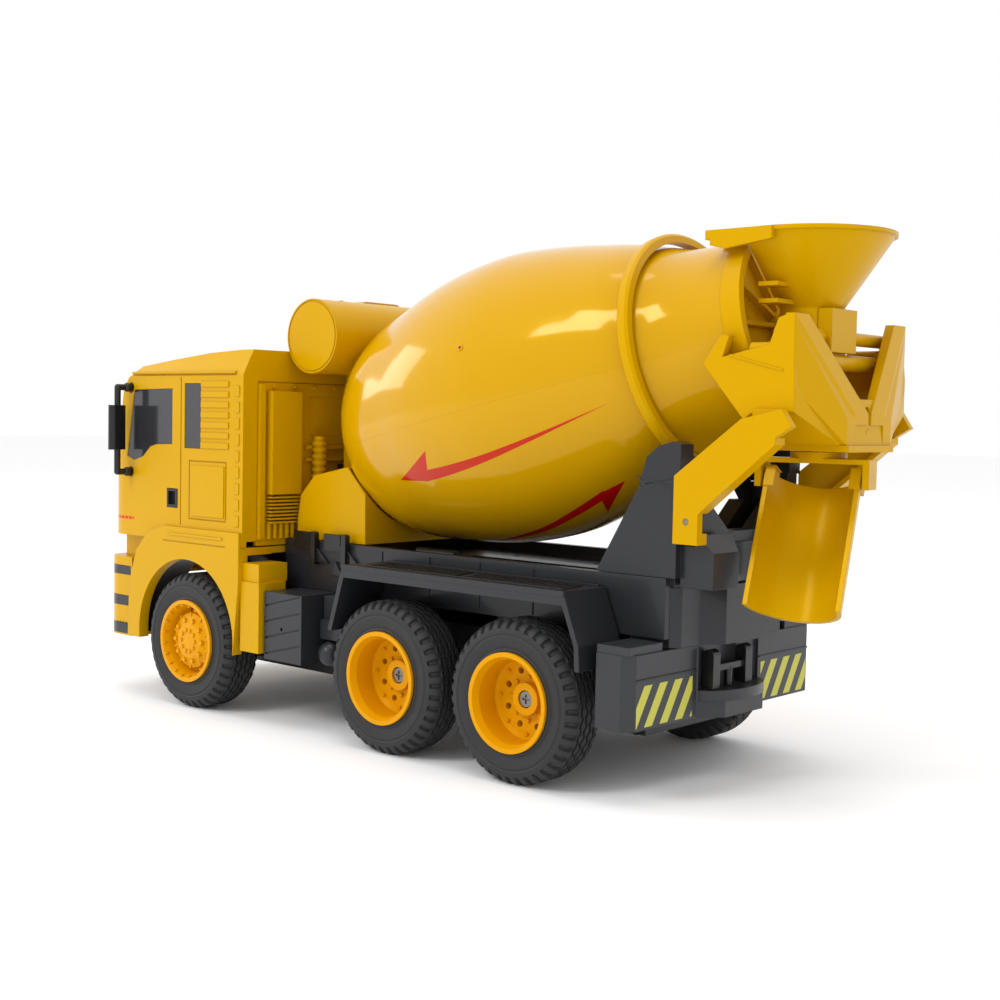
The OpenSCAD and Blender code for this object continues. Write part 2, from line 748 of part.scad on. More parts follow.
module cross_tubes() {
    color(yellow) from_rear_axle() {
        rod_y(3, -94, 158, -36.9, 36.9);
        // upper tube and the saddle that holds the hopper's spout
        difference() {
            union() {
                rod_y(2.4, -93, 167, -36.9, 36.9);
                box(-97, -88, -9, 9, 161.4, 176.8);
            }
            translate([hopper_x, 0, 150]) cylinder(h = 40, r = neck_r + 0.3);
        }
        both_sides() rod_x(2.4, 34.2, 161.4, -94, -81);
    }
}

module hopper() {
    color(yellow) from_rear_axle() {
        difference() {
            union() {
                hopper_cone(0);
                translate([hopper_x, 0, hopper_rim_z - 1.4]) cylinder(h = 1.4, r = hopper_r);
                translate([hopper_x, 0, hopper_neck_z - 12]) cylinder(h = 12.2, r = neck_r);
            }
            hopper_cone(1.6);
            translate([hopper_x, 0, hopper_rim_z - 1.6]) cylinder(h = 3, r = hopper_r - 1.7);
            translate([hopper_x, 0, hopper_neck_z - 13]) cylinder(h = 14, r = neck_r - 1.6);
            drum_sweep(0.8);
        }
        // cover plate over the drum's mouth, with its dome
        difference() {
            union() {
                box(-85, -58, -31, 31, 200.5, 203.8);
                intersection() {
                    on_drum_axis() translate([0, 0, mouth_s - 8]) cylinder(h = 21, r = collar_r + 2.6);
                    box(-90, -50, -24, 24, 202, 215);
                }
                both_sides() side_prism([
                    [-85, 200.6], [-60, 200.6], [-60, 198.4], [-66, 197], [-85, 199.4]
                ], 29, 31);
            }
            drum_sweep(0.8);
            translate([hopper_x, 0, 190]) cylinder(h = 30, r = hopper_r - 1.7);
        }
        // bracket from the cone to the drum-end frame
        difference() {
            both_sides() for (z = [178, 184]) box(-84, -76, neck_r - 1, 24, z, z + 1.6);
            hopper_cone(1.6);
            drum_sweep(0.8);
        }
    }
}

module hopper_cone(inset) {
    translate([hopper_x, 0, hopper_neck_z])
        cylinder(h = hopper_rim_z - hopper_neck_z, r1 = neck_r - inset, r2 = hopper_r - inset);
}

// ---------- chute ----------

// Turns a shape about the chute's swivel, local X pointing the way the chute faces
module at_swivel() {
    translate([swivel_x, 0, 0]) rotate([0, 0, 180 - chute_swing]) children();
}

module chute_bracket() {
    color(yellow) from_rear_axle() at_swivel() difference() {
        union() {
            translate([0, 0, 122.4]) cylinder(h = 3.9, r = 10);
            translate([0, 0, 122.4]) cylinder(h = 7, r = neck_bore_r - run_fit);
            // snap ring above the collector's floor
            translate([0, 0, floor_z + 0.3]) cylinder(h = 1.2, r = 8.4);
            both_sides() box(-1, 9, ear_y, ear_y + 2.4, 113.4, 122.6);
            box(-1, 9, -ear_y - 2.4, ear_y + 2.4, 122.2, 124);
        }
        translate([0, 0, 120]) cylinder(h = 12, r = 5);
        rod_y(1.5 + run_fit, chute_pin_off, chute_pin_z, -30, 30);
    }
}

module chute() {
    color(yellow) from_rear_axle() at_swivel()
        translate([chute_pin_off, 0, chute_pin_z]) rotate([0, chute_slope, 0]) {
            difference() {
                union() {
                    chute_trough(0);
                    // hooked lugs at the top of each rim
                    both_sides() box(-3, 5, 13.6, 17.6, -3.4, 3.4);
                }
                chute_trough(1.8);
            }
            both_sides() translate([0, ear_y + 2.4, 0]) rotate([90, 0, 0]) cylinder(h = 4.4, r = 1.5);
        }
}

// Half-round trough along local X, open towards local +Z, with a rounded tongue
module chute_trough(inset) {
    difference() {
        translate([-1 - inset, 0, trough_drop]) rotate([0, 90, 0])
            cylinder(h = chute_len + 1 + 2 * inset, r = trough_r - inset);
        translate([-10, -30, trough_drop]) cube([chute_len + 20, 60, 30]);
    }
}

// ---------- drum ----------

module drum_shell(start) {
    on_drum_axis() rotate([0, 0, start]) rotate_extrude(angle = 180) polygon(concat(
        [[3.2, 0]],
        [for (i = [0:17]) [drum_rad[i], drum_st[i]]],
        [for (i = [17:-1:1]) [drum_rad[i] - drum_wall, drum_st[i] + (i < 4 ? 2 : 0)]],
        [[3.2, 2.4]]
    ));
}

module drum_shell_upper() {
    color(yellow) from_rear_axle() drum_shell(seam_angle);
}

module drum_shell_lower() {
    color(yellow) from_rear_axle() drum_shell(seam_angle + 180);
}

module drum_ring() {
    ring_in = 43.2;
    color(yellow) from_rear_axle() on_drum_axis() translate([0, 0, ring_s - ring_w / 2]) rotate_extrude() polygon([
        [ring_in, 0], [ring_r - 1, 0], [ring_r, 1], [ring_r, ring_w - 1], [ring_r - 1, ring_w], [ring_in - 0.8, ring_w]
    ]);
}

module drum_collar() {
    color(yellow) from_rear_axle() on_drum_axis() translate([0, 0, mouth_s]) {
        difference() {
            cylinder(h = collar_w, r = collar_r);
            translate([0, 0, 1.6]) cylinder(h = collar_w, r = collar_r - 3);
        }
        // radial ribs and hub on the closed end
        for (a = [0:30:150]) rotate([0, 0, a]) translate([2 - collar_r, -0.8, 1]) cube([2 * collar_r - 4, 1.6, 3.4]);
        cylinder(h = 5, r = 7);
    }
}

module drum_gear() {
    color([0.92, 0.92, 0.9]) from_rear_axle() on_drum_axis() {
        translate([0, 0, -5.6]) spur(drum_teeth, gear_mod, 4.4, 2.9);
        translate([0, 0, -13]) cylinder(h = 15.4, r = 3);
    }
}

module drum_pinion() {
    color([0.92, 0.92, 0.9]) from_rear_axle() at_pinion() {
        translate([0, 0, -5.6]) rotate([0, 0, 180 / pinion_teeth]) spur(pinion_teeth, gear_mod, 4.4, 1.1);
        translate([0, 0, -16]) cylinder(h = 15, r = 1.2);
    }
}

module drum_gearbox() {
    color(dark) from_rear_axle() difference() {
        union() {
            box(149.9, 156.2, -11, 11, 100.6, 113);
            rod_y(5.4, 134, 86.6, -14, 14);
            box(128.6, 144.4, -12, 12, 80.3, 90);
        }
        at_pinion() translate([0, 0, -19]) cylinder(h = 20, r = 1.2 + run_fit);
        drum_sweep(1.2);
    }
}

module roller(side) {
    at_roller(side) {
        translate([0, 0, ring_s - 4.5]) cylinder(h = 9, r = roller_r);
        translate([0, 0, ring_s - 9]) cylinder(h = 18, r = 1.5);
    }
}

module roller_left() {
    color(black) from_rear_axle() roller(1);
}

module roller_right() {
    color(black) from_rear_axle() roller(-1);
}

// ---------- wheels ----------

// Tyre standing on its own axis, local Z pointing out of the truck
module tyre_ring() {
    rotate_extrude() polygon([
        [17.8, 0.7], [25, 0], [28.6, 0.7], [30.4, 2.4], [tyre_r, 4.2], [tyre_r, 5.8], [groove_r, 6], [groove_r, 6.8],
        [tyre_r, 7], [tyre_r, 9.2], [groove_r, 9.4], [groove_r, 10.2], [tyre_r, 10.4], [tyre_r, 12.6],
        [groove_r, 12.8], [groove_r, 13.6], [tyre_r, 13.8], [tyre_r, tyre_w - 4], [30.4, tyre_w - 2.4],
        [28.6, tyre_w - 0.7], [25, tyre_w], [17.8, tyre_w - 0.6]
    ]);
}

// Deep-dish rear rim with eight round vents
module deep_rim() {
    difference() {
        rotate_extrude() polygon([
            [shaft_r, 3], [8, 3], [14, 5], [15.4, 1], [17.7, 1], [17.7, tyre_w - 0.6], [rim_r, tyre_w - 0.4],
            [rim_r, tyre_w + 0.8], [17, tyre_w + 0.8], [15.8, tyre_w - 2], [15.4, 9], [13.6, 7.4], [8, 6.6],
            [6.2, 6.6], [6.2, 9.4], [3.4, 9.4], [3.4, 6.6], [shaft_r, 6.6]
        ]);
        for (i = [0:7]) rotate([0, 0, i * 45 + 22.5]) translate([11, 0, 0]) cylinder(h = 12, r = 1.25);
    }
}

// Front rim with a domed centre and a ring of wheel nuts
module domed_rim() {
    difference() {
        rotate_extrude() polygon([
            [bush_r, 3], [8, 3], [14, 6], [15.4, 1], [17.7, 1], [17.7, tyre_w - 0.6], [rim_r, tyre_w - 0.4],
            [rim_r, tyre_w + 0.8], [17, tyre_w + 0.8], [15.8, tyre_w - 2], [14.6, 13], [13.4, 13.6], [12.6, 16.4],
            [8, 18.2], [0.01, 18.8], [0.01, 17.4], [bush_r, 17.4]
        ]);
        for (i = [0:9]) rotate([0, 0, i * 36]) translate([14, 0, 10]) cylinder(h = 6, r = 0.9);
    }
    for (i = [0:9]) rotate([0, 0, i * 36]) translate([5, 0, 18]) cylinder(h = 1.2, r = 0.9);
}

// Places a wheel part at an axle, on one side of the truck
module at_wheel(x, side) {
    translate([x, side * tyre_in_y, axle_z]) rotate([-side * 90, 0, 0]) children();
}

module axle_shaft(x) {
    rod_y(shaft_r, x, axle_z, -tyre_in_y - 8, tyre_in_y + 8);
    for (s = [-1, 1]) at_wheel(x, s) {
        translate([0, 0, 6.8]) difference() {
            cylinder(h = 2, r = 3);
            translate([0, 0, 1]) {
                translate([-1.8, -0.4, 0]) cube([3.6, 0.8, 2]);
                translate([-0.4, -1.8, 0]) cube([0.8, 3.6, 2]);
            }
        }
    }
}

module mid_axle_shaft() {
    color(steel) from_rear_axle() axle_shaft(mid_x);
}

module rear_axle_shaft() {
    color(steel) from_rear_axle() {
        axle_shaft(0);
        translate([0, 3, axle_z]) rotate([90, 0, 0]) spur(22, 0.8, 6, shaft_r - 0.1);
    }
}

module mid_wheel_rims() {
    color(yellow) from_rear_axle() for (s = [-1, 1]) at_wheel(mid_x, s) deep_rim();
}

module mid_wheel_tyres() {
    color(black) from_rear_axle() for (s = [-1, 1]) at_wheel(mid_x, s) tyre_ring();
}

module rear_wheel_rims() {
    color(yellow) from_rear_axle() for (s = [-1, 1]) at_wheel(0, s) deep_rim();
}

module rear_wheel_tyres() {
    color(black) from_rear_axle() for (s = [-1, 1]) at_wheel(0, s) tyre_ring();
}

module front_rim_left() {
    color(yellow) from_rear_axle() at_wheel(front_x, 1) domed_rim();
}

module front_rim_right() {
    color(yellow) from_rear_axle() at_wheel(front_x, -1) domed_rim();
}

module front_tyre_left() {
    color(black) from_rear_axle() at_wheel(front_x, 1) tyre_ring();
}

module front_tyre_right() {
    color(black) from_rear_axle() at_wheel(front_x, -1) tyre_ring();
}

// ---------- drive, steering and electrics ----------

module drive_gearbox() {
    color(dark) from_rear_axle() difference() {
        union() {
            box(-14, 28, -9, 9, 20.6, 48);
            rod_y(9, 19, 38, -22, -9);
        }
        box(-12, 12, -7, 7, 20, 43.4);
        rod_y(bush_r, 0, axle_z, -10, 10);
    }
}

module steering_knuckle(side) {
    translate([front_x, side * kingpin_y, 0]) {
        translate([0, 0, 22.3]) cylinder(h = 18.4, r = 4);
        translate([0, 0, 18.4]) cylinder(h = 25, r = 2);
        translate([-steer_arm, -2, 22.6]) cube([steer_arm, 4, 3.4]);
        translate([-steer_arm, 0, 22.6]) cylinder(h = 3.4, r = 3);
        translate([-steer_arm, 0, 22.6]) cylinder(h = 7.4, r = 1.5);
        translate([0, 0, axle_z]) rotate([-side * 90, 0, 0]) cylinder(h = tyre_in_y - kingpin_y + 17, r = shaft_r);
    }
}

module knuckle_left() {
    color(dark) from_rear_axle() steering_knuckle(1);
}

module knuckle_right() {
    color(dark) from_rear_axle() steering_knuckle(-1);
}

module tie_rod() {
    rod_x0 = front_x - steer_arm;
    color(dark) from_rear_axle() {
        difference() {
            box(rod_x0 - 3.6, rod_x0 + 4.4, -45, 45, 26.5, 29.4);
            both_sides() box(rod_x0 - 1.6, rod_x0 + 2.6, kingpin_y - 1.7, kingpin_y + 1.7, 26, 30);
        }
        translate([rod_x0, 0, 29.4]) cylinder(h = 2.4, r = 1.6);
    }
}

module steering_servo() {
    rod_x0 = front_x - steer_arm;
    color(dark) from_rear_axle() difference() {
        union() {
            box(173.8, 190.6, -14, 14, 30.4, 47);
            box(173.6, 175.4, -20, 20, 30.4, 36);
        }
        box(rod_x0 - 1.8, rod_x0 + 1.8, -8, 8, 29, 33);
    }
}

module battery_pack() {
    color(green) from_rear_axle() {
        for (y = [-14.3, 0, 14.3]) rod_x(7, y, 28.4, 97, 147);
        box(100, 144, -14.3, 14.3, 34, 35.6);
    }
}

module battery_cover() {
    color(dark) from_rear_axle() difference() {
        box(93, 153, -17.4, 17.4, 16.4, 17.9);
        for (i = [0:4]) box(104 + i * 4, 106 + i * 4, -10, 10, 16, 16.9);
        translate([148.6, 0, 15]) cylinder(h = 4, r = 1.5);
    }
}

module control_board() {
    color(green) from_rear_axle() {
        box(32, 62, -19, 19, 42, 43.4);
        box(38, 46, -6, 4, 43.4, 45.6);
        box(50, 54, 6, 14, 43.4, 47);
        for (y = [-15, -11]) translate([56, y, 43.4]) cylinder(h = 4.4, r = 1.6);
    }
}

module power_switch() {
    color(black) from_rear_axle() {
        box(158, 161.4, -1.6, 1.6, 15.6, 21);
        box(156.4, 163, -4, 4, 20.7, 22.2);
    }
}

module chassis_screws() {
    color(steel) from_rear_axle() for (p = screw_spots) translate([p[0], p[1], 0]) {
        translate([0, 0, 16.2]) difference() {
            cylinder(h = 1.7, r = 2.8);
            translate([-1.8, -0.4, -1]) cube([3.6, 0.8, 1.8]);
            translate([-0.4, -1.8, -1]) cube([0.8, 3.6, 1.8]);
        }
        translate([0, 0, 17.8]) cylinder(h = 6, r = 1.4);
    }
}

// ---------- what is drawn ----------

chassis_tray();
frame_rails();
rear_fender_left();
rear_fender_right();
drum_pedestal();
rear_crossmember();
rear_bumper();
tow_hitch();
drum_support();
side_posts();
cab_shell();
cab_rear_wall();
cab_windows();
cab_lower();
front_bumper();
step_treads();
headlamps();
grille_bars();
door_handles();
roof_intake();
water_tank();
support_arms();
side_boxes();
air_tanks();
collector();
cross_tubes();
hopper();
chute_bracket();
chute();
drum_shell_upper();
drum_shell_lower();
drum_ring();
drum_collar();
drum_gear();
drum_gearbox();
drum_pinion();
roller_left();
roller_right();
drive_gearbox();
mid_axle_shaft();
rear_axle_shaft();
mid_wheel_rims();
mid_wheel_tyres();
rear_wheel_rims();
rear_wheel_tyres();
battery_cover();
knuckle_left();
knuckle_right();
front_rim_left();
front_rim_right();
front_tyre_left();
front_tyre_right();
tie_rod();
steering_servo();
mirror_left();
mirror_right();
battery_pack();
control_board();
power_switch();
chassis_screws();
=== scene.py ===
"""Toy cement mixer truck: finishes, fine mouldings and the studio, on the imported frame."""

import json
import logging
import math
from dataclasses import dataclass, field
from enum import Enum

import bpy
from mathutils import Matrix, Vector

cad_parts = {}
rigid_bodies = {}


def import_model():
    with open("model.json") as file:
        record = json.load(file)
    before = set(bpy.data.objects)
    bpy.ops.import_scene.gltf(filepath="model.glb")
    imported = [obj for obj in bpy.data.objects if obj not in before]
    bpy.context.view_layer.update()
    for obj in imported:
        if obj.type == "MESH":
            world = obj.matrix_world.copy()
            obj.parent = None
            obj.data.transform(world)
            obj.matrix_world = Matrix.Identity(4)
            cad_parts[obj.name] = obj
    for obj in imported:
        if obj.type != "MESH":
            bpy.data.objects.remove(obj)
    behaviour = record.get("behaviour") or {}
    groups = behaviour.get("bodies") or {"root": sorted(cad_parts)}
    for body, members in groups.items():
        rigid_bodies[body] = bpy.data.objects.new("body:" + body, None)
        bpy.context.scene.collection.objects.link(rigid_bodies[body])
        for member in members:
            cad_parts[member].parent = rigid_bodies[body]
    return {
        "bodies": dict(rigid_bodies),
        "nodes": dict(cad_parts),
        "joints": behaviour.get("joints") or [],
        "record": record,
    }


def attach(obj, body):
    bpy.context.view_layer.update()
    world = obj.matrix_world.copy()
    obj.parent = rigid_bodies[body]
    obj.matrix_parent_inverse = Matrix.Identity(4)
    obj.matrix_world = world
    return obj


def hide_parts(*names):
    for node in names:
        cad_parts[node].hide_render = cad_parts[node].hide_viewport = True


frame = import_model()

log = logging.getLogger("cement_mixer")

MM = 0.001
REAR_AXLE_X = -76.75
AXLE_Z = 31.0
HUB_PLANE_Y = 46.75
DRUM_LENGTH = 213.0
SMOOTH_BELOW = 32.0
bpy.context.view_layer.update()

Point = tuple[float, float, float]
Colour = tuple[float, float, float]


def place(x: float, y: float, z: float) -> Vector:
    """Turns millimetres from the rear axle into the frame's metres."""
    return Vector(((x + REAR_AXLE_X) * MM, y * MM, z * MM))


class Side(Enum):
    """The two sides of the truck, as the sign of Y."""

    LEFT = 1
    RIGHT = -1

    @property
    def word(self) -> str:
        """The side's name for a piece."""
        return self.name.lower()


class Rim(Enum):
    """The two kinds of wheel centre."""

    DOMED = "domed"
    DEEP = "deep"


# ---------- node helpers ----------


def add_node(tree: bpy.types.NodeTree, kind: str, inputs: dict | None = None,
             **settings: object) -> bpy.types.Node:
    """Adds one node, sets it up and joins its inputs.

    Args:
        tree: the shader or geometry tree.
        kind: the node's type name.
        inputs: socket name or number to a value, a socket or a Signal.
        settings: the node's own properties.

    Returns:
        The new node.
    """
    node = tree.nodes.new(kind)
    for name, value in settings.items():
        setattr(node, name, value)
    for key, value in (inputs or {}).items():
        socket = node.inputs[key]
        if isinstance(value, Signal):
            value = value.socket
        if isinstance(value, bpy.types.NodeSocket):
            tree.links.new(value, socket)
        else:
            socket.default_value = value
    return node


@dataclass(frozen=True)
class Signal:
    """A number carried by a socket, so that node maths reads as plain arithmetic."""

    tree: bpy.types.NodeTree
    socket: bpy.types.NodeSocket

    def maths(self, operation: str, *values: object) -> "Signal":
        """Adds one Math node with the given values.

        Args:
            operation: the Math node's operation.
            values: numbers or Signals, in socket order.

        Returns:
            The node's result.
        """
        node = add_node(self.tree, "ShaderNodeMath", dict(enumerate(values)), operation=operation)
        return Signal(self.tree, node.outputs[0])

    def __add__(self, other: object) -> "Signal":
        """self + other."""
        return self.maths("ADD", self, other)

    def __radd__(self, other: object) -> "Signal":
        """other + self."""
        return self.maths("ADD", other, self)

    def __sub__(self, other: object) -> "Signal":
        """self - other."""
        return self.maths("SUBTRACT", self, other)

    def __rsub__(self, other: object) -> "Signal":
        """other - self."""
        return self.maths("SUBTRACT", other, self)

    def __mul__(self, other: object) -> "Signal":
        """self * other."""
        return self.maths("MULTIPLY", self, other)

    def __rmul__(self, other: object) -> "Signal":
        """other * self."""
        return self.maths("MULTIPLY", other, self)

    def __truediv__(self, other: object) -> "Signal":
        """self / other."""
        return self.maths("DIVIDE", self, other)

    def __abs__(self) -> "Signal":
        """Size without sign."""
        return self.maths("ABSOLUTE", self)

    def __gt__(self, other: object) -> "Signal":
        """1 where self is greater."""
        return self.maths("GREATER_THAN", self, other)

    def __lt__(self, other: object) -> "Signal":
        """1 where self is less."""
        return self.maths("LESS_THAN", self, other)

    def repeat(self, step: float) -> "Signal":
        """Position within a pattern that repeats every step, from 0 to step."""
        return self.maths("FLOORED_MODULO", self, step)

    def between(self, low: object, high: object) -> "Signal":
        """1 between the two values."""
        return (self > low) * (self < high)

    def either(self, other: "Signal") -> "Signal":
        """The larger of two masks."""
        return self.maths("MAXIMUM", self, other)


# ---------- finishes ----------


@dataclass(frozen=True)
class Plastic:
    """Injection-moulded plastic with soft edges, slight flow marks and fine handling wear."""

    name: str
    colour: Colour
    shade: Colour
    roughness: float = 0.28
    rough_spread: float = 0.035
    gloss: float = 0.32
    sheen: Colour = (1.0, 1.0, 1.0)
    coat: float = 0.3
    edge: float = 0.5
    grain: float = 0.012
    grain_scale: float = 900.0
    metallic: float = 0.0
    coat_roughness: float = 0.06
    drift_scale: float = 22.0
    wear_scale: float = 260.0
    grain_height: float = 0.0002

    def start(self) -> tuple[bpy.types.Material, bpy.types.NodeTree, bpy.types.Node]:
        """Makes the empty material and its principled shader."""
        material = bpy.data.materials.new(self.name)
        material.use_nodes = True
        tree = material.node_tree
        tree.nodes.clear()
        shader = add_node(tree, "ShaderNodeBsdfPrincipled")
        shader.inputs["Metallic"].default_value = self.metallic
        shader.inputs["Specular IOR Level"].default_value = self.gloss
        shader.inputs["Specular Tint"].default_value = (*self.sheen, 1.0)
        shader.inputs["Coat Weight"].default_value = self.coat
        shader.inputs["Coat Roughness"].default_value = self.coat_roughness
        add_node(tree, "ShaderNodeOutputMaterial", {"Surface": shader.outputs[0]})
        return material, tree, shader

    def axes(self, tree: bpy.types.NodeTree) -> tuple[Signal, Signal, Signal, bpy.types.NodeSocket]:
        """Object coordinates as three signals in millimetres from the rear axle, and the raw vector."""
        raw = add_node(tree, "ShaderNodeTexCoord").outputs["Object"]
        parts = add_node(tree, "ShaderNodeSeparateXYZ", {0: raw}).outputs
        x, y, z = (Signal(tree, p) / MM for p in parts)
        return x - REAR_AXLE_X, y, z, raw

    def marks(self, tree: bpy.types.NodeTree, base: bpy.types.NodeSocket) -> bpy.types.NodeSocket:
        """Printed or painted marks over the base colour; plain plastic has none."""
        return base

    def build(self) -> bpy.types.Material:
        """Builds the finish.

        Returns:
            The material, with colour drift, roughness wear, grain and rounded edges.
        """
        material, tree, shader = self.start()
        raw = self.axes(tree)[3]
        drift = add_node(
            tree, "ShaderNodeTexNoise", {"Vector": raw, "Scale": self.drift_scale, "Detail": 3.0})
        wear = add_node(
            tree,
            "ShaderNodeTexNoise",
            {"Vector": raw, "Scale": self.wear_scale, "Detail": 6.0, "Roughness": 0.7},
        )
        grain = add_node(
            tree, "ShaderNodeTexNoise", {"Vector": raw, "Scale": self.grain_scale, "Detail": 2.0})
        base = add_node(
            tree,
            "ShaderNodeMix",
            {0: Signal(tree, drift.outputs[0]), 6: (*self.colour, 1.0), 7: (*self.shade, 1.0)},
            data_type="RGBA",
        )
        tree.links.new(self.marks(tree, base.outputs[2]), shader.inputs["Base Color"])
        rough = Signal(tree, wear.outputs[0]) * self.rough_spread + (self.roughness - self.rough_spread / 2)
        tree.links.new(rough.socket, shader.inputs["Roughness"])
        soft = add_node(tree, "ShaderNodeBevel", {"Radius": self.edge * MM}, samples=4)
        bump = add_node(
            tree,
            "ShaderNodeBump",
            {"Strength": self.grain, "Distance": self.grain_height, "Height": grain.outputs[0],
             "Normal": soft.outputs[0]},
        )
        tree.links.new(bump.outputs[0], shader.inputs["Normal"])
        return material


def tint(tree: bpy.types.NodeTree, base: bpy.types.NodeSocket, mask: Signal,
         colour: Colour) -> bpy.types.NodeSocket:
    """Lays a colour over a base where the mask is 1.

    Args:
        tree: the material's tree.
        base: the colour underneath.
        mask: where the colour goes.
        colour: the colour on top.

    Returns:
        The mixed colour's socket.
    """
    mixed = add_node(tree, "ShaderNodeMix", {0: mask, 6: base, 7: (*colour, 1.0)}, data_type="RGBA")
    return mixed.outputs[2]


@dataclass(frozen=True)
class HazardPlastic(Plastic):
    """Dark bumper plastic with slanted warning stripes on the lower rear face."""

    stripe: Colour = (0.52, 0.5, 0.05)
    slant: float = 0.62
    pitch: float = 9.4
    bar: float = 4.8
    face_x: float = -51.6
    height: tuple[float, float] = (28.2, 43.0)
    reach: tuple[float, float] = (23.5, 58.0)

    def marks(self, tree: bpy.types.NodeTree, base: bpy.types.NodeSocket) -> bpy.types.NodeSocket:
        """Six slanted stripes on each side of the hitch."""
        x, y, z, _ = self.axes(tree)
        bars = (y + z * self.slant).repeat(self.pitch) < self.bar
        mask = bars * (x < self.face_x) * z.between(*self.height) * abs(y).between(*self.reach)
        return tint(tree, base, mask, self.stripe)


@dataclass(frozen=True)
class CabPlastic(Plastic):
    """Cab yellow with the fine red line low on each door."""

    line: Colour = (0.6, 0.02, 0.01)
    pitch: float = 3.1
    dash: float = 2.5
    run: tuple[float, float] = (240.0, 256.0)
    height: tuple[float, float] = (84.2, 85.6)
    beyond_y: float = 60.0

    def marks(self, tree: bpy.types.NodeTree, base: bpy.types.NodeSocket) -> bpy.types.NodeSocket:
        """A broken red pinstripe near the door's front corner."""
        x, y, z, _ = self.axes(tree)
        dashes = x.repeat(self.pitch) < self.dash
        mask = dashes * x.between(*self.run) * z.between(*self.height) * (abs(y) > self.beyond_y)
        return tint(tree, base, mask, self.line)


@dataclass(frozen=True)
class Arrow:
    """One swept arrow on the drum's flank, in millimetres along the axis and degrees round it.

    The ends and angles give the tail and then the point. The bend is how far the shaft bows, the barb
    is the side of the shaft it stands on, 1 or -1, and the neck is where the head starts, as a share
    of the length.
    """

    ends: tuple[float, float]
    angles: tuple[float, float]
    bend: float
    barb: int
    neck: float
    shaft_half: float = 2.9
    short_side: float = 2.6
    barb_side: float = 8.0
    barb_rake: float = -0.0045
    overlap: float = 0.03

    def mask(self, s: Signal, a: Signal) -> Signal:
        """Where the arrow is.

        Args:
            s: millimetres along the axis.
            a: degrees round the axis.

        Returns:
            1 on the arrow.
        """
        (tail, point), (tail_angle, point_angle) = self.ends, self.angles
        t = (s - tail) / (point - tail)
        centre = t * (point_angle - tail_angle) + tail_angle + t * (1.0 - t) * (4.0 * self.bend)
        off = (a - centre) * self.barb
        shaft = (abs(off) < t * self.shaft_half) * t.between(0.0, self.neck + self.overlap)
        flare = 1.0 / (1.0 - self.neck)
        head = off > (t - 1.0) * (self.short_side * flare)
        head = head * (off < (1.0 - t) * (self.barb_side * flare))
        head = head * (t > off * self.barb_rake + self.neck) * (t < 1.0)
        return shaft.either(head)


@dataclass(frozen=True)
class DrumPlastic(Plastic):
    """Drum yellow with the moulding seam and two swept red arrows on each flank."""

    arrow: Colour = (0.5, 0.004, 0.003)
    upper: Arrow = Arrow((165.0, 57.0), (-22.6, -29.5), -1.6, 1, 0.82)
    lower: Arrow = Arrow((36.0, 151.5), (-80.0, -63.5), -1.5, -1, 0.885)
    seam: Colour = (0.5, 0.2, 0.002)
    seam_angle: float = -8.0
    seam_half: float = 0.16
    seam_run: tuple[float, float] = (6.0, 212.0)
    seam_strength: float = 0.45

    def marks(self, tree: bpy.types.NodeTree, base: bpy.types.NodeSocket) -> bpy.types.NodeSocket:
        """Arrows and seam, laid out on the drum's own map."""
        flank_map = add_node(tree, "ShaderNodeUVMap", uv_map="flank").outputs[0]
        parts = add_node(tree, "ShaderNodeSeparateXYZ", {0: flank_map})
        s, turn = Signal(tree, parts.outputs[0]) * DRUM_LENGTH, Signal(tree, parts.outputs[1]) * 360.0
        left = turn - 180.0
        right = (180.0 - turn).repeat(360.0) - 180.0
        colour = base
        for flank in (left, right):
            arrows = self.upper.mask(s, flank).either(self.lower.mask(s, flank))
            colour = tint(tree, colour, arrows, self.arrow)
            line = (abs(flank - self.seam_angle) < self.seam_half) * s.between(*self.seam_run)
            colour = tint(tree, colour, line * self.seam_strength, self.seam)
        return colour


BODY_YELLOW: Colour = (0.585, 0.32, 0.0)
DEEP_YELLOW: Colour = (0.56, 0.3, 0.0)
GOLD: Colour = (1.0, 0.68, 0.02)

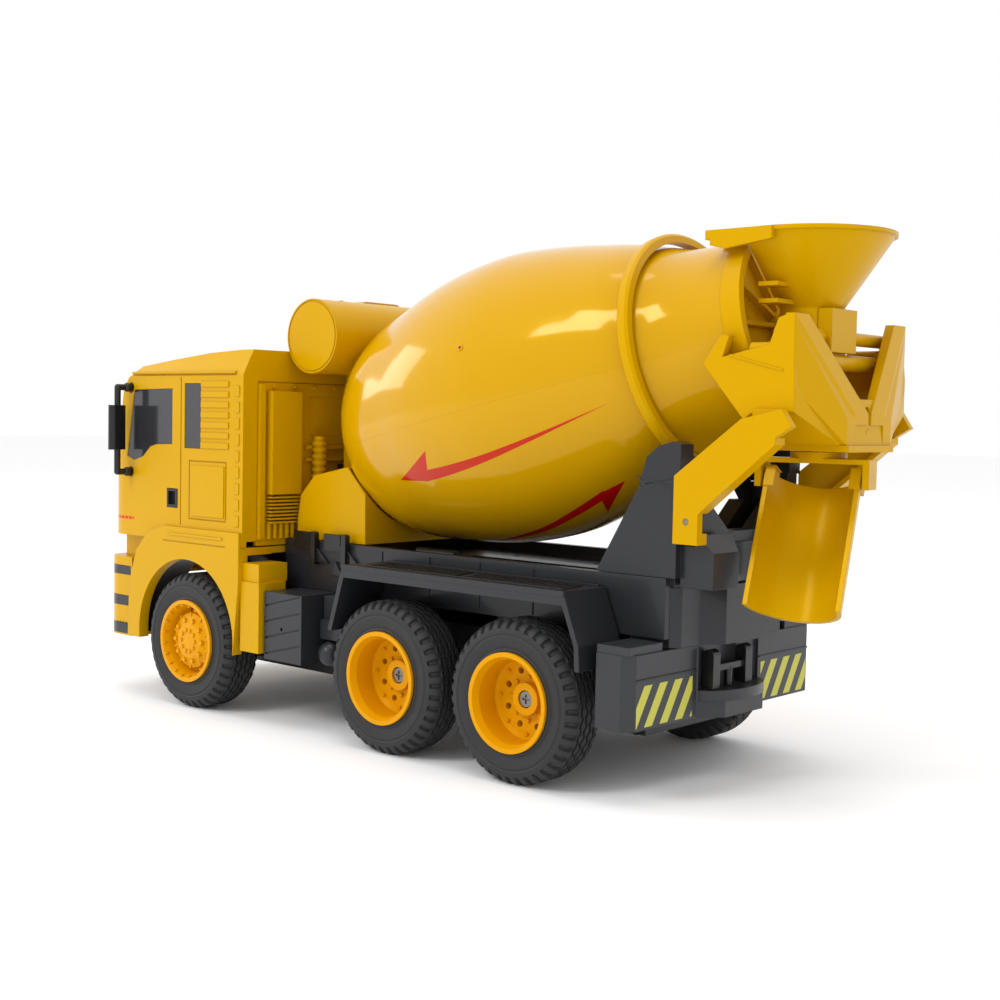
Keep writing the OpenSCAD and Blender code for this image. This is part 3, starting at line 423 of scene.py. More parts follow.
FINISHES: dict[str, Plastic] = {
    "body": Plastic("body_yellow", BODY_YELLOW, DEEP_YELLOW, roughness=0.3, coat=0.03, sheen=GOLD),
    "cab": CabPlastic("cab_yellow", BODY_YELLOW, DEEP_YELLOW, roughness=0.3, coat=0.03, sheen=GOLD),
    "drum": DrumPlastic("drum_yellow", (0.575, 0.3, 0.0), DEEP_YELLOW, roughness=0.14, coat=0.32, edge=0.3,
        sheen=GOLD),
    "rim": Plastic("rim_yellow", (0.7, 0.31, 0.0), (0.66, 0.29, 0.0), roughness=0.34, coat=0.03, edge=0.35,
        sheen=GOLD),
    "frame": Plastic("frame_grey", (0.020, 0.021, 0.0245), (0.015, 0.016, 0.019), roughness=0.34, coat=0.12),
    "bumper": HazardPlastic("bumper_grey", (0.028, 0.0295, 0.033), (0.023, 0.0245, 0.028), roughness=0.35,
        coat=0.12),
    "grey": Plastic("box_grey", (0.024, 0.0255, 0.03), (0.02, 0.0215, 0.026), roughness=0.38, coat=0.1),
    "black": Plastic("trim_black", (0.006, 0.006, 0.007), (0.009, 0.009, 0.01), roughness=0.28, coat=0.2),
    "smoke": Plastic("window_film", (0.022, 0.023, 0.027), (0.03, 0.031, 0.034), roughness=0.16, coat=0.7,
        edge=0.15),
    "tyre": Plastic("tyre_rubber", (0.018, 0.0185, 0.02), (0.026, 0.0265, 0.028), roughness=0.55, coat=0.0,
                    edge=0.25, grain=0.25, grain_scale=1600.0),
    "steel": Plastic("plated_steel", (0.26, 0.25, 0.23), (0.2, 0.19, 0.18), roughness=0.34, coat=0.0,
        edge=0.2, metallic=1.0),
    "nylon": Plastic("gear_nylon", (0.7, 0.69, 0.64), (0.64, 0.63, 0.57), roughness=0.42, coat=0.0,
        edge=0.15),
    "lens": Plastic("lamp_lens", (0.75, 0.77, 0.8), (0.68, 0.7, 0.74), roughness=0.1, coat=0.8, edge=0.2),
    "green": Plastic("board_green", (0.01, 0.11, 0.035), (0.008, 0.085, 0.028), roughness=0.35, coat=0.3,
        edge=0.2),
}

NODE_FINISH: dict[str, str] = {
    "body": "drum_support cab_rear_wall cab_lower front_bumper roof_intake water_tank support_arms collector "
            "cross_tubes hopper chute_bracket chute drum_ring drum_collar",
    "cab": "cab_shell",
    "rim": "mid_wheel_rims rear_wheel_rims front_rim_left front_rim_right",
    "frame": "chassis_tray frame_rails rear_fender_left rear_fender_right drum_pedestal rear_crossmember "
             "step_treads grille_bars drum_gearbox drive_gearbox battery_cover knuckle_left knuckle_right "
             "tie_rod steering_servo",
    "bumper": "rear_bumper",
    "grey": "side_boxes air_tanks",
    "black": "tow_hitch side_posts door_handles mirror_left mirror_right roller_left roller_right "
             "power_switch",
    "smoke": "cab_windows",
    "steel": "mid_axle_shaft rear_axle_shaft chassis_screws",
    "nylon": "drum_gear drum_pinion",
    "lens": "headlamps",
    "green": "battery_pack control_board",
}


class Paint:
    """Builds each finish once and hands it out."""

    def __init__(self) -> None:
        """Starts with no finish built."""
        self.built: dict[str, bpy.types.Material] = {}

    def get(self, key: str) -> bpy.types.Material:
        """The material of a finish, built on first use."""
        if key not in self.built:
            self.built[key] = FINISHES[key].build()
        return self.built[key]

    def dress_frame(self) -> None:
        """Gives each CAD node its finish and smooth curved faces."""
        for key, names in NODE_FINISH.items():
            for name in names.split():
                mesh = frame["nodes"][name].data
                mesh.materials.clear()
                mesh.materials.append(self.get(key))
                mesh.shade_smooth()
                mesh.set_sharp_from_angle(angle=math.radians(SMOOTH_BELOW))
                log.info("node %s is %s", name, key)


# ---------- mesh helpers ----------


@dataclass
class Piece:
    """One finished mesh, in its place, riding on a body."""

    name: str
    finish: str
    body: str
    slot: str
    stands_for: tuple[str, ...] = ()

    def from_mesh(self, mesh: bpy.types.Mesh, paint: Paint, crease: float = SMOOTH_BELOW) -> bpy.types.Object:
        """Dresses a mesh and fixes it to its body.

        Args:
            mesh: the shape, in the frame's metres.
            paint: where the finish comes from.
            crease: the angle in degrees above which an edge stays sharp.

        Returns:
            The finished object.
        """
        mesh.materials.clear()
        mesh.materials.append(paint.get(self.finish))
        mesh.shade_smooth()
        mesh.set_sharp_from_angle(angle=math.radians(crease))
        piece = bpy.data.objects.new(self.name, mesh)
        bpy.context.scene.collection.objects.link(piece)
        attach(piece, self.body)
        if self.stands_for:
            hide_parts(*self.stands_for)
        log.info("piece %s: %d faces on %s", self.name, len(mesh.polygons), self.body)
        return piece

    def from_data(self, verts: list, faces: list, paint: Paint,
                  crease: float = SMOOTH_BELOW) -> bpy.types.Object:
        """Makes the piece from points and faces."""
        mesh = bpy.data.meshes.new(self.name)
        mesh.from_pydata(verts, [], faces)
        mesh.validate()
        mesh.update()
        return self.from_mesh(mesh, paint, crease)


def yellow_moulding(name: str) -> Piece:
    """A small moulding in the body's yellow, fixed to the truck."""
    return Piece(name, "body", "truck", "yellow_body")


def frame_moulding(name: str) -> Piece:
    """A small moulding in the frame's dark plastic, fixed to the truck."""
    return Piece(name, "frame", "truck", "dark_frame")


def ring_faces(turns: int, rows: int, closed: bool) -> list[tuple[int, int, int, int]]:
    """Faces of a lathe-turned skin, point index turn * rows + row.

    Args:
        turns: steps round the axis.
        rows: points along the profile.
        closed: whether the profile's last point joins its first.

    Returns:
        The quads.
    """
    faces = []
    for i in range(turns):
        j = (i + 1) % turns
        for k in range(rows if closed else rows - 1):
            n = (k + 1) % rows
            faces.append((i * rows + k, i * rows + n, j * rows + n, j * rows + k))
    return faces


def wheel_place(x: float, side: Side) -> Matrix:
    """Puts a wheel part at its axle, local Z pointing out of the truck."""
    centre = place(x, side.value * HUB_PLANE_Y, AXLE_Z)
    return Matrix.Translation(centre) @ Matrix.Rotation(-side.value * math.pi / 2, 4, "X")


class Stud(Enum):
    """What a repeater lays down at each point."""

    BLOCK = "GeometryNodeMeshCube"
    ROUND = "GeometryNodeMeshCylinder"


@dataclass
class Repeater:
    """A geometry tree that repeats a small moulding along a line and round a ring."""

    name: str
    stud: Stud
    sides: int = 14
    tree: bpy.types.NodeTree | None = field(default=None, init=False)

    SOCKETS = {
        "Count": "NodeSocketInt",
        "Radius": "NodeSocketFloat",
        "Spin": "NodeSocketFloat",
        "Phase": "NodeSocketFloat",
        "Start": "NodeSocketVector",
        "Step": "NodeSocketVector",
        "Size": "NodeSocketVector",
        "Centre": "NodeSocketVector",
        "Turn": "NodeSocketVector",
        "Material": "NodeSocketMaterial",
    }

    def make_tree(self) -> None:
        """Builds the tree once, with named inputs for every size."""
        tree = bpy.data.node_groups.new(self.name, "GeometryNodeTree")
        for label, kind in self.SOCKETS.items():
            tree.interface.new_socket(label, in_out="INPUT", socket_type=kind)
        tree.interface.new_socket("Geometry", in_out="OUTPUT", socket_type="NodeSocketGeometry")
        given = add_node(tree, "NodeGroupInput").outputs
        index = Signal(tree, add_node(tree, "GeometryNodeInputIndex").outputs[0])
        angle = index * Signal(tree, given["Spin"]) + Signal(tree, given["Phase"])
        across = angle.maths("COSINE", angle) * Signal(tree, given["Radius"])
        upward = angle.maths("SINE", angle) * Signal(tree, given["Radius"])
        ring = add_node(tree, "ShaderNodeCombineXYZ", {0: across, 1: upward})
        line = add_node(tree, "ShaderNodeVectorMath", {0: given["Step"], "Scale": index}, operation="SCALE")
        moved = add_node(tree, "ShaderNodeVectorMath", {0: line.outputs[0], 1: given["Start"]},
            operation="ADD")
        spot = add_node(tree, "ShaderNodeVectorMath", {0: moved.outputs[0], 1: ring.outputs[0]},
            operation="ADD")
        points = add_node(tree, "GeometryNodePoints", {"Count": given["Count"], "Position": spot.outputs[0]})
        turn = add_node(tree, "ShaderNodeCombineXYZ", {2: angle})
        if self.stud is Stud.BLOCK:
            stud = add_node(tree, self.stud.value, {"Size": given["Size"]})
        else:
            size = add_node(tree, "ShaderNodeSeparateXYZ", {0: given["Size"]}).outputs
            stud = add_node(tree, self.stud.value,
                {"Vertices": self.sides, "Radius": size[0], "Depth": size[2]})
        laid = add_node(
            tree,
            "GeometryNodeInstanceOnPoints",
            {"Points": points.outputs[0], "Instance": stud.outputs[0], "Rotation": turn.outputs[0]},
        )
        set_down = add_node(
            tree,
            "GeometryNodeTransform",
            {"Geometry": laid.outputs[0], "Translation": given["Centre"], "Rotation": given["Turn"]},
        )
        solid = add_node(tree, "GeometryNodeRealizeInstances", {0: set_down.outputs[0]})
        dressed = add_node(tree, "GeometryNodeSetMaterial",
            {"Geometry": solid.outputs[0], "Material": given["Material"]})
        add_node(tree, "NodeGroupOutput", {0: dressed.outputs[0]})
        self.tree = tree

    def run(self, material: bpy.types.Material, **sizes: object) -> bpy.types.Mesh:
        """Runs the tree and returns its plain mesh.

        Args:
            material: the finish the tree sets.
            sizes: values for the tree's named inputs, in metres and radians.

        Returns:
            The realised mesh.
        """
        if self.tree is None:
            self.make_tree()
        return run_tree(self.tree, {**sizes, "Material": material})


def run_tree(tree: bpy.types.NodeTree, values: dict) -> bpy.types.Mesh:
    """Applies a geometry tree to an empty mesh and keeps the result.

    Args:
        tree: the geometry tree.
        values: the tree's inputs by name.

    Returns:
        The plain mesh.
    """
    carrier = bpy.data.objects.new(tree.name + "_carrier", bpy.data.meshes.new(tree.name))
    bpy.context.scene.collection.objects.link(carrier)
    modifier = carrier.modifiers.new(tree.name, "NODES")
    modifier.node_group = tree
    for item in tree.interface.items_tree:
        if item.in_out == "INPUT" and item.name in values:
            modifier[item.identifier] = values[item.name]
    graph = bpy.context.evaluated_depsgraph_get()
    mesh = bpy.data.meshes.new_from_object(carrier.evaluated_get(graph))
    bpy.data.objects.remove(carrier)
    return mesh


BLOCKS = Repeater("block_row", Stud.BLOCK)
BOLTS = Repeater("bolt_row", Stud.ROUND)
NUTS = Repeater("nut_ring", Stud.ROUND, sides=6)


def row(piece: Piece, paint: Paint, kit: Repeater, count: int, start: Point, step: Point, size: Point,
        turn: Point = (0.0, 0.0, 0.0)) -> None:
    """Lays a straight row of one moulding.

    Args:
        piece: the row's name, finish and body.
        paint: where the finish comes from.
        kit: what is repeated.
        count: how many.
        start: the first one's centre, in millimetres from the rear axle.
        step: from one to the next, in millimetres, before the turn.
        size: the moulding's size in millimetres.
        turn: turn of the whole row about the first one, in degrees.
    """
    mesh = kit.run(
        paint.get(piece.finish), Count=count, Step=[v * MM for v in step], Size=[v * MM for v in size],
        Centre=place(*start), Turn=[math.radians(v) for v in turn],
    )
    piece.from_mesh(mesh, paint)


def ring(piece: Piece, paint: Paint, kit: Repeater, count: int, radius: float, lift: float, size: Point,
         spot: Matrix, phase: float = 0.0) -> None:
    """Lays a ring of one moulding round an axis.

    Args:
        piece: the ring's name, finish and body.
        paint: where the finish comes from.
        kit: what is repeated.
        count: how many.
        radius: the ring's radius in millimetres.
        lift: height along the axis in millimetres.
        size: the moulding's size in millimetres.
        spot: where the axis stands, local Z along it.
        phase: angle of the first one, in degrees.
    """
    mesh = kit.run(
        paint.get(piece.finish), Count=count, Radius=radius * MM, Spin=2 * math.pi / count,
        Phase=math.radians(phase), Start=(0.0, 0.0, lift * MM), Size=[v * MM for v in size],
        Centre=spot.to_translation(), Turn=spot.to_euler(),
    )
    piece.from_mesh(mesh, paint)


# ---------- wheels ----------


@dataclass
class Tyre:
    """A moulded tyre with zigzag grooves and notched shoulders."""

    width: float = 19.5
    outer: float = 31.0
    notches: int = 40
    steps: int = 8
    groove_at: tuple[float, ...] = (5.7, 8.4, 11.1, 13.8)
    groove_depth: float = 1.2
    cut_steps: int = 3
    cut_depth: float = 0.9
    cut_width: float = 0.6
    sway: float = 0.55
    wall: tuple[Point, ...] = (
        (17.8, 0.7, 0), (19.4, 0.4, 0), (20.2, 0.7, 0), (21.0, 0.3, 0), (24.6, 0.0, 0), (25.2, 0.35, 0),
        (25.8, 0.0, 0), (27.6, 0.2, 0), (28.6, 0.7, 1), (29.7, 1.6, 1), (30.5, 2.7, 1),
        (30.9, 3.7, 1), (31.0, 4.3, 0),
    )

    def profile(self, step: int) -> list[tuple[float, float]]:
        """Radius and offset of each profile point at one step round the tyre.

        Args:
            step: the step's number.

        Returns:
            The profile, from the inner bead to the outer bead.
        """
        within = step % self.steps
        sunk = 1.0 if within < self.cut_steps else 0.0
        sway = self.sway * (abs(within - self.steps / 2) / (self.steps / 4) - 1.0)
        near = [(r - self.cut_depth * notch * sunk, w + self.cut_width * notch * sunk)
                for r, w, notch in self.wall]
        tread = []
        for i, w in enumerate(self.groove_at):
            shift = sway if i % 2 else -sway
            for dw, drop in ((-0.6, 0), (-0.4, 1), (0.4, 1), (0.6, 0)):
                tread.append((self.outer - drop * self.groove_depth, w + dw + shift))
        far = [(r, self.width - w) for r, w in reversed(near)]
        return near + tread + far

    def build(self, name: str, node: str, body: str, x: float, side: Side, paint: Paint) -> None:
        """Makes one tyre in its place.

        Args:
            name: the piece's name.
            node: the CAD node it stands for.
            body: the body it rolls with.
            x: the axle's place from the rear axle.
            side: the side of the truck.
            paint: where the finish comes from.
        """
        spot = wheel_place(x, side)
        turns = self.notches * self.steps
        verts, rows = [], 0
        for i in range(turns):
            a = 2 * math.pi * i / turns
            points = self.profile(i)
            rows = len(points)
            verts += [spot @ Vector((r * math.cos(a) * MM, r * math.sin(a) * MM, w * MM)) for r, w in points]
        faces = [f[::-1] for f in ring_faces(turns, rows, closed=True)]
        Piece(name, "tyre", body, "tyre_rubber", (node,)).from_data(verts, faces, paint, crease=24.0)


@dataclass
class Wheels:
    """Tyres and the small bolts on all six wheels."""

    tyre: Tyre = field(default_factory=Tyre)
    axles: tuple[tuple[str, float, Rim], ...] = (
        ("rear", 0.0, Rim.DEEP), ("mid", 68.0, Rim.DEEP), ("front", 196.5, Rim.DOMED),
    )

    def build(self, paint: Paint) -> None:
        """Makes the tyres and bolt rings.

        Args:
            paint: where the finishes come from.
        """
        for axle, x, rim in self.axles:
            for side in Side:
                steered = rim is Rim.DOMED
                body = f"front_wheel_{side.word}" if steered else f"{axle}_wheelset"
                node = f"front_tyre_{side.word}" if steered else f"{axle}_wheel_tyres"
                self.tyre.build(f"{axle}_tyre_{side.word}_tread", node, body, x, side, paint)
                self.bolts(f"{axle}_{side.word}", body, rim, wheel_place(x, side), paint)

    def bolts(self, name: str, body: str, rim: Rim, spot: Matrix, paint: Paint) -> None:
        """Rings of small bolts and nuts on one wheel centre.

        Args:
            name: start of the pieces' names.
            body: the body they roll with.
            rim: the kind of wheel centre.
            spot: where the wheel stands.
            paint: where the finish comes from.
        """

        def make(part: str) -> Piece:
            """Names one ring of this wheel."""
            return Piece(f"{name}_{part}", "rim", body, "yellow_rim")

        if rim is Rim.DOMED:
            ring(make("hub_nuts"), paint, NUTS, 10, 9.6, 18.0, (1.1, 1.1, 1.6), spot)
            ring(make("lip_bolts"), paint, BOLTS, 20, 16.3, 19.1, (0.5, 0.5, 2.2), spot, 9.0)
            ring(make("cap_ribs"), paint, BLOCKS, 10, 11.7, 16.6, (2.6, 0.8, 1.2), spot, 18.0)
        else:
            ring(make("hub_nuts"), paint, NUTS, 8, 8.3, 7.0, (0.8, 0.8, 1.5), spot)
            ring(make("vent_lugs"), paint, BOLTS, 8, 13.4, 7.7, (0.7, 0.7, 1.3), spot)


# ---------- drum ----------


@dataclass
class Drum:
    """The smooth drum skin, grown by a rule from its stations along the axis."""

    tilt: float = 12.77
    nose: Point = (138.6, 0.0, 123.3)
    length: float = DRUM_LENGTH
    widest: float = 60.0
    rows: int = 140
    turns: int = 217
    nose_crowding: float = 1.35
    screw_along: float = 109.0
    screw_angle: float = 74.5
    screw_radius: float = 58.6
    stations: tuple[tuple[float, float], ...] = (
        (0, 9), (3, 19), (8, 29), (15, 37.5), (27, 46.1), (40, 50.8), (54.3, 53.9), (68, 56.9),
        (81.4, 58.8), (95, 59.5), (108.5, 59.1), (122, 57), (135.6, 54.1), (149, 50.6),
        (162.8, 46.7), (177, 41.3), (190, 37), (213, 35),
    )

    def make_tree(self) -> bpy.types.NodeTree:
        """Builds the skin's geometry tree.

        Returns:
            The tree, with inputs for length, widest radius, tilt, nose and material.
        """
        tree = bpy.data.node_groups.new("drum_skin", "GeometryNodeTree")
        kinds = {"Length": "NodeSocketFloat", "Widest": "NodeSocketFloat", "Tilt": "NodeSocketVector",
                 "Nose": "NodeSocketVector", "Material": "NodeSocketMaterial"}
        for label, kind in kinds.items():
            tree.interface.new_socket(label, in_out="INPUT", socket_type=kind)
        tree.interface.new_socket("Geometry", in_out="OUTPUT", socket_type="NodeSocketGeometry")
        given = add_node(tree, "NodeGroupInput").outputs
        grid = add_node(tree, "GeometryNodeMeshGrid",
            {"Size X": 1.0, "Size Y": 1.0, "Vertices X": self.rows, "Vertices Y": self.turns})
        where = add_node(tree, "ShaderNodeSeparateXYZ",
            {0: add_node(tree, "GeometryNodeInputPosition").outputs[0]}).outputs
        along = (Signal(tree, where[0]) + 0.5).maths(
            "POWER", Signal(tree, where[0]) + 0.5, self.nose_crowding)
        angle = (Signal(tree, where[1]) + 0.5) * (2 * math.pi) - math.pi
        curve = add_node(tree, "ShaderNodeFloatCurve", {"Value": along})
        points = curve.mapping.curves[0].points
        for s, r in self.stations[1:-1]:
            points.new(s / self.length, r / self.widest)
        points[0].location = (0.0, self.stations[0][1] / self.widest)
        points[-1].location = (1.0, self.stations[-1][1] / self.widest)
        curve.mapping.update()
        radius = Signal(tree, curve.outputs[0]) * Signal(tree, given["Widest"])
        local = add_node(
            tree,
            "ShaderNodeCombineXYZ",
            {0: radius * angle.maths("SINE", angle), 1: radius * angle.maths("COSINE", angle),
             2: along * Signal(tree, given["Length"])},
        )
        stored = add_node(
            tree,
            "GeometryNodeStoreNamedAttribute",
            {"Geometry": grid.outputs["Mesh"], "Name": "flank",
             "Value": add_node(tree, "ShaderNodeCombineXYZ",
                 {0: along, 1: Signal(tree, where[1]) + 0.5}).outputs[0]},
            data_type="FLOAT2",
            domain="CORNER",
        )
        shaped = add_node(tree, "GeometryNodeSetPosition",
            {"Geometry": stored.outputs[0], "Position": local.outputs[0]})
        joined = add_node(tree, "GeometryNodeMergeByDistance",
            {"Geometry": shaped.outputs[0], "Distance": 0.00001})
        stood = add_node(
            tree,
            "GeometryNodeTransform",
            {"Geometry": joined.outputs[0], "Translation": given["Nose"], "Rotation": given["Tilt"]},
        )
        solid = add_node(tree, "GeometryNodeRealizeInstances", {0: stood.outputs[0]})
        dressed = add_node(tree, "GeometryNodeSetMaterial",
            {"Geometry": solid.outputs[0], "Material": given["Material"]})
        add_node(tree, "NodeGroupOutput", {0: dressed.outputs[0]})
        return tree

    def axis_spot(self, s: float) -> Matrix:
        """A place on the drum's axis, local Z towards the mouth and local X up."""
        turn = Matrix.Rotation(math.radians(self.tilt - 90), 4, "Y")
        return Matrix.Translation(place(*self.nose)) @ turn @ Matrix.Translation((0, 0, s * MM))

    def build(self, paint: Paint) -> None:
        """Makes the skin, the mouth's bolts and the seam screw.

        Args:
            paint: where the finishes come from.
        """
        mesh = run_tree(self.make_tree(), {
            "Length": self.length * MM, "Widest": self.widest * MM, "Nose": place(*self.nose),
            "Tilt": (0.0, math.radians(self.tilt - 90), 0.0), "Material": paint.get("drum"),
        })
        Piece("drum_skin", "drum", "drum", "yellow_drum",
            ("drum_shell_upper", "drum_shell_lower")).from_mesh(mesh, paint, 60.0)
        ring(Piece("mouth_bolts", "body", "drum", "yellow_drum"), paint, BOLTS, 12, 29.0, 2.6,
             (1.2, 1.2, 2.4), self.axis_spot(self.length), 15.0)
        hole = self.axis_spot(self.screw_along) @ Matrix.Rotation(math.radians(self.screw_angle), 4, "Z")
        hole = hole @ Matrix.Translation((self.screw_radius * MM, 0, 0))
        hole = hole @ Matrix.Rotation(math.radians(90), 4, "Y")
        ring(Piece("seam_screw", "rim", "drum", "yellow_drum"), paint, BOLTS, 1, 0.0, 0.4, (1.3, 1.3, 0.8),
            hole)
        # A black disc on the screw head: painted shade standing in for the dark hollow of the screw's recess.
        ring(Piece("seam_screw_recess", "black", "drum", "black_trim"), paint, BOLTS, 1, 0.0, 0.62,
            (0.6, 0.6, 0.5), hole)


# ---------- cab and chassis trim ----------


@dataclass
class CabTrim:
    """Ribs, rails and rivets on the cab."""

    half_width: float = 65.0
    ribs: int = 7

    def build(self, paint: Paint) -> None:
        """Makes the side ribs, roof rails and wall details.

        Args:
            paint: where the finishes come from.
        """
        for side in Side:
            w = side.value
            row(yellow_moulding(f"cab_side_ribs_{side.word}"), paint, BLOCKS, self.ribs,
                (178.0, w * self.half_width, 121.0), (0, 0, 4.6), (20.0, 1.0, 2.6))
            row(yellow_moulding(f"cab_rear_ribs_{side.word}"), paint, BLOCKS, 9,
                (162.0, w * self.half_width, 88.0), (0, 0, 7.2), (3.0, 0.8, 4.8))
            row(yellow_moulding(f"drip_rail_{side.word}"), paint, BLOCKS, 1,
                (202.0, w * (self.half_width + 0.2), 153.9), (0, 0, 1), (78.0, 1.2, 1.0))
            row(yellow_moulding(f"locker_panel_{side.word}"), paint, BLOCKS, 1,
                (183.0, w * (self.half_width + 0.1), 100.3), (0, 0, 1), (24.0, 0.8, 23.0))
            row(yellow_moulding(f"arch_lip_{side.word}"), paint, BLOCKS, 1, (190.0, w * 66.7, 79.6),
                (0, 0, 1), (40.0, 0.6, 1.2))
            row(yellow_moulding(f"roof_rivets_{side.word}"), paint, BOLTS, 6, (172.0, w * 58.6, 161.3),
                (11.0, 0, -0.7), (0.8, 0.8, 1.2))
            row(frame_moulding(f"step_studs_{side.word}"), paint, BLOCKS, 4,
                (247.5, w * 63.9, 33.7), (2.4, 0, 0), (1.0, 0.8, 0.5))
        row(yellow_moulding("rear_wall_rivets_upper"), paint, BOLTS, 9, (157.9, -48.0, 148.0),
            (0, 12.0, 0), (0.9, 0.9, 1.0))
        row(yellow_moulding("tank_end_ribs"), paint, BLOCKS, 3, (142.0, -24.0, 186.8),
            (0, 24.0, 0), (4.0, 1.2, 0.8))


@dataclass
class ChassisTrim:
    """Screws, seams and the small fittings on the chassis."""

    def build(self, paint: Paint) -> None:
        """Makes the screws, fender lips and bumper seams.

        Args:
            paint: where the finishes come from.
        """
        for side in Side:
            w = side.value
            row(frame_moulding(f"fender_lip_{side.word}"), paint, BLOCKS, 1, (32.4, w * 66.2, 73.9),
                (0, 0, 1), (117.0, 1.4, 2.2))
            row(frame_moulding(f"fender_edge_{side.word}"), paint, BLOCKS, 2, (32.4, w * 43.2, 75.0),
                (0, w * 20.6, 0), (112.0, 0.9, 0.9))
            row(frame_moulding(f"rail_seams_{side.word}"), paint, BLOCKS, 4, (10.0, w * 41.1, 69.5),
                (28.0, 0, 0), (0.7, 0.5, 18.0))
            row(frame_moulding(f"pedestal_seam_{side.word}"), paint, BLOCKS, 1, (-46.8, w * 41.1, 114.2),
                (0, 0, 1), (17.0, 0.5, 0.7), (0, -13.0, 0))
            row(frame_moulding(f"bumper_seam_{side.word}"), paint, BLOCKS, 1, (-53.0, w * 40.0, 45.2),
                (0, 0, 1), (0.5, 37.0, 0.6))
            row(Piece(f"arm_screw_{side.word}", "steel", "truck", "axle_steel"), paint, BOLTS, 1,
                (-62.0, w * 43.6, 101.0), (0, 0, 1), (1.1, 1.1, 1.2), (90, 0, 0))
            row(Piece(f"air_tank_bands_{side.word}", "grey", "truck", "mid_grey"), paint, BOLTS, 3,
                (112.6, w * 45.0, 34.0), (0, 0, -w * 3.0), (5.4, 5.4, 0.7), (90, 0, 0))
        row(Piece("deck_cylinder", "black", "truck", "black_trim"), paint, BOLTS, 1, (76.0, 26.0, 78.0),
            (0, 0, 1), (2.3, 2.3, 22.0), (0, 90, 0))
        row(Piece("deck_rod", "black", "truck", "black_trim"), paint, BOLTS, 1, (50.0, 26.0, 77.6),
            (0, 0, 1), (1.0, 1.0, 36.0), (0, 90, 0))
        row(frame_moulding("deck_film"), paint, BLOCKS, 2, (46.0, -8.0, 75.0),
            (0, 22.0, 0), (74.0, 9.0, 0.8))


@dataclass
class ArchLiners:
    """Black liners curved over the front tyres."""

    radius: float = 39.5
    thickness: float = 0.9
    inner_y: float = 43.0
    outer_y: float = 61.3
    centre_x: float = 197.5
    centre_z: float = 33.0
    start: float = -4.0
    sweep: float = 188.0
    steps: int = 40

    def build(self, paint: Paint) -> None:
        """Makes one liner on each side.

        Args:
            paint: where the finish comes from.
        """
        for side in Side:
            verts, faces = [], []
            for i in range(self.steps + 1):
                a = math.radians(self.start) + math.radians(self.sweep) * i / self.steps
                for r in (self.radius - self.thickness, self.radius):
                    for y in (self.inner_y, self.outer_y):
                        verts.append(place(self.centre_x + r * math.cos(a), side.value * y,
                                           self.centre_z + r * math.sin(a)))
            for i in range(self.steps):
                k, n = 4 * i, 4 * i + 4
                quads = [(k, k + 1, n + 1, n), (k + 2, n + 2, n + 3, k + 3), (k, n, n + 2, k + 2),
                    (k + 1, k + 3, n + 3, n + 1)]
                faces += quads if side is Side.RIGHT else [q[::-1] for q in quads]
            last = 4 * self.steps
            ends = [(0, 2, 3, 1), (last, last + 1, last + 3, last + 2)]
            faces += ends if side is Side.RIGHT else [q[::-1] for q in ends]
            Piece(f"arch_liner_{side.word}", "black", "truck", "black_trim").from_data(verts, faces, paint)


@dataclass
class DischargeTrim:
    """Ribs and seams on the hopper, collector and chute."""

    hopper_x: float = -83.0

    def build(self, paint: Paint) -> None:
        """Makes the fine mouldings at the tail.

        Args:
            paint: where the finishes come from.
        """
        cone = Matrix.Translation(place(self.hopper_x, 0.0, 0.0))
        ring(yellow_moulding("hopper_rim_bead"), paint, BLOCKS, 72, 29.5, 203.2, (0.8, 2.8, 1.6), cone)
        ring(yellow_moulding("spout_ribs"), paint, BLOCKS, 12, 12.1, 171.0, (0.6, 0.9, 8.0), cone)
        for side in Side:
            row(yellow_moulding(f"flank_seam_{side.word}"), paint, BLOCKS, 1,
                (-86.0, side.value * 40.1, 156.5), (0, 0, 1), (22.0, 0.4, 0.8), (0, -14, 0))
        row(yellow_moulding("end_plate_screw"), paint, BOLTS, 1, (-107.3, 0.0, 133.0), (0, 0, 1),
            (1.7, 1.7, 0.8), (0, 90, 0))


# ---------- studio ----------


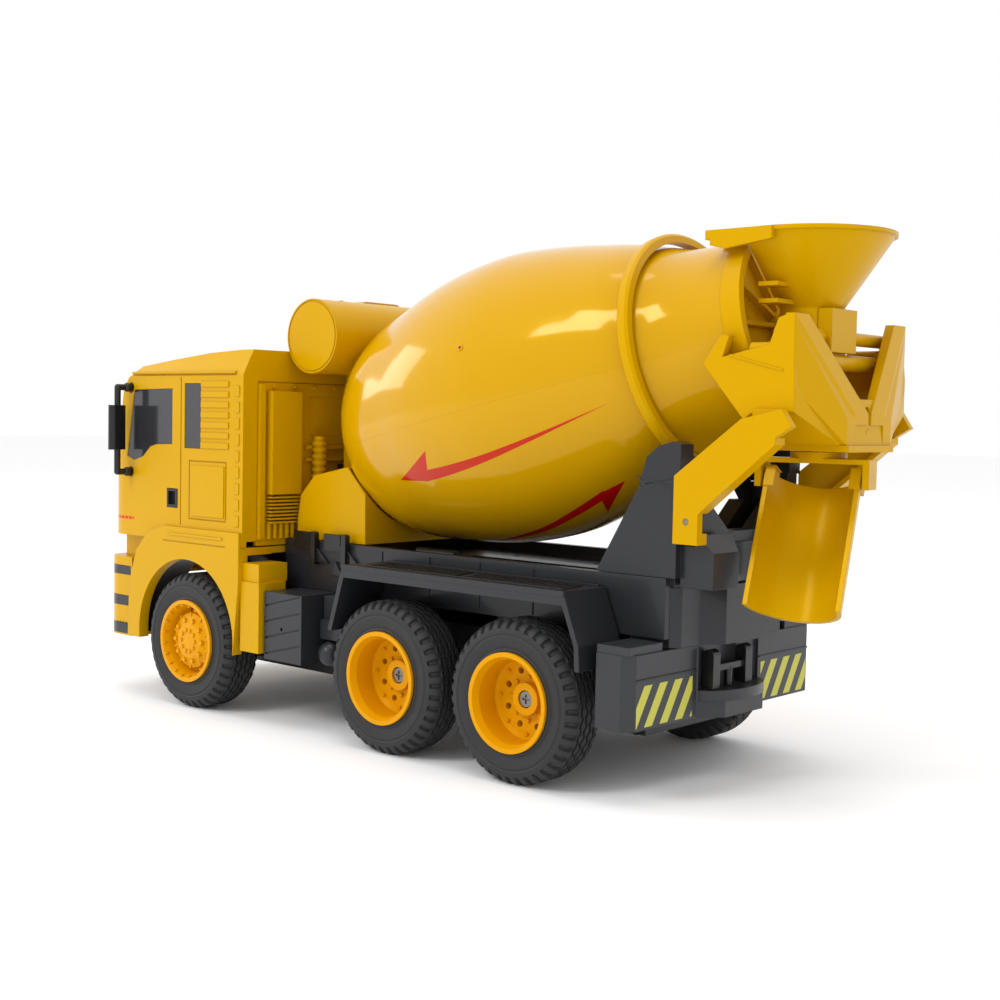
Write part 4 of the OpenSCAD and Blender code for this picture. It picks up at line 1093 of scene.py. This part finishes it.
@dataclass
class Studio:
    """Pale floor, soft light and the camera."""

    eye: Point = (-0.42665, 0.4660, 0.1363)
    heading: float = 0.844153
    drop: float = 0.056887
    roll: float = 0.019812
    lens: float = 52.278
    sensor: float = 36.0
    clip: tuple[float, float] = (0.01, 20.0)
    floor_half: float = 6.0
    floor_colour: Colour = (0.96, 0.96, 0.965)
    floor_roughness: float = 0.8

    def camera(self) -> None:
        """Sets the camera at the truck's left rear, just above the wheels."""
        level = math.cos(self.drop)
        look = Vector((math.cos(self.heading) * level, -math.sin(self.heading) * level,
                       -math.sin(self.drop)))
        right = Vector((-math.sin(self.heading), -math.cos(self.heading), 0.0))
        up = right.cross(look)
        c, s = math.cos(self.roll), math.sin(self.roll)
        across, above = right * c + up * s, up * c - right * s
        data = bpy.data.cameras.new("camera")
        data.lens, data.sensor_width = self.lens, self.sensor
        data.clip_start, data.clip_end = self.clip
        camera = bpy.data.objects.new("camera", data)
        turn = Matrix((across, above, -look)).transposed().to_4x4()
        camera.matrix_world = Matrix.Translation(Vector(self.eye)) @ turn
        bpy.context.scene.collection.objects.link(camera)
        bpy.context.scene.camera = camera

    def floor(self) -> None:
        """Lays the plain pale floor."""
        mesh = bpy.data.meshes.new("floor")
        h = self.floor_half
        mesh.from_pydata([(-h, -h, 0), (h, -h, 0), (h, h, 0), (-h, h, 0)], [], [(0, 1, 2, 3)])
        material = bpy.data.materials.new("floor_white")
        material.use_nodes = True
        shader = material.node_tree.nodes["Principled BSDF"]
        shader.inputs["Base Color"].default_value = (*self.floor_colour, 1.0)
        shader.inputs["Roughness"].default_value = self.floor_roughness
        mesh.materials.append(material)
        sheet = bpy.data.objects.new("floor", mesh)
        bpy.context.scene.collection.objects.link(sheet)

    def lamp(self, name: str, spot: Point, aim: Point, size: float, power: float) -> None:
        """Hangs one soft box.

        Args:
            name: the lamp's name.
            spot: where it hangs.
            aim: what it points at.
            size: its side in metres.
            power: its power in watts.
        """
        data = bpy.data.lights.new(name, "AREA")
        data.size, data.energy = size, power
        lamp = bpy.data.objects.new(name, data)
        lamp.location = spot
        lamp.rotation_euler = (Vector(aim) - Vector(spot)).to_track_quat("-Z", "Y").to_euler()
        bpy.context.scene.collection.objects.link(lamp)

    def build(self) -> None:
        """Sets the camera, the floor, the lamps and the white surround."""
        self.camera()
        self.floor()
        world = bpy.data.worlds.new("surround")
        world.use_nodes = True
        world.node_tree.nodes["Background"].inputs["Color"].default_value = (1.0, 1.0, 1.0, 1.0)
        world.node_tree.nodes["Background"].inputs["Strength"].default_value = 1.0
        bpy.context.scene.world = world
        bpy.context.scene.view_settings.view_transform = "Standard"
        self.lamp("key", (0.25, 1.3, 1.25), (0.0, 0.0, 0.08), 0.5, 9.0)
        self.lamp("top", (-0.1, 0.1, 1.6), (0.0, 0.0, 0.1), 0.8, 5.0)
        self.lamp("front_fill", (1.5, 0.5, 0.6), (0.0, 0.0, 0.1), 0.5, 3.0)


def clear_bench() -> None:
    """Removes the start-up objects that aren't part of the frame."""
    kept = {o.name for group in ("nodes", "bodies") for o in frame[group].values()}
    for thing in [o for o in bpy.data.objects if o.name not in kept]:
        bpy.data.objects.remove(thing)


def main() -> None:
    """Dresses the frame, adds every detailed piece and sets the studio."""
    logging.basicConfig(level=logging.INFO, format="%(name)s: %(message)s")
    clear_bench()
    Studio().build()
    paint = Paint()
    paint.dress_frame()
    for assembly in (Wheels(), Drum(), CabTrim(), ChassisTrim(), ArchLiners(), DischargeTrim()):
        assembly.build(paint)
        log.info("built %s", type(assembly).__name__)


if __name__ == "__main__":
    main()
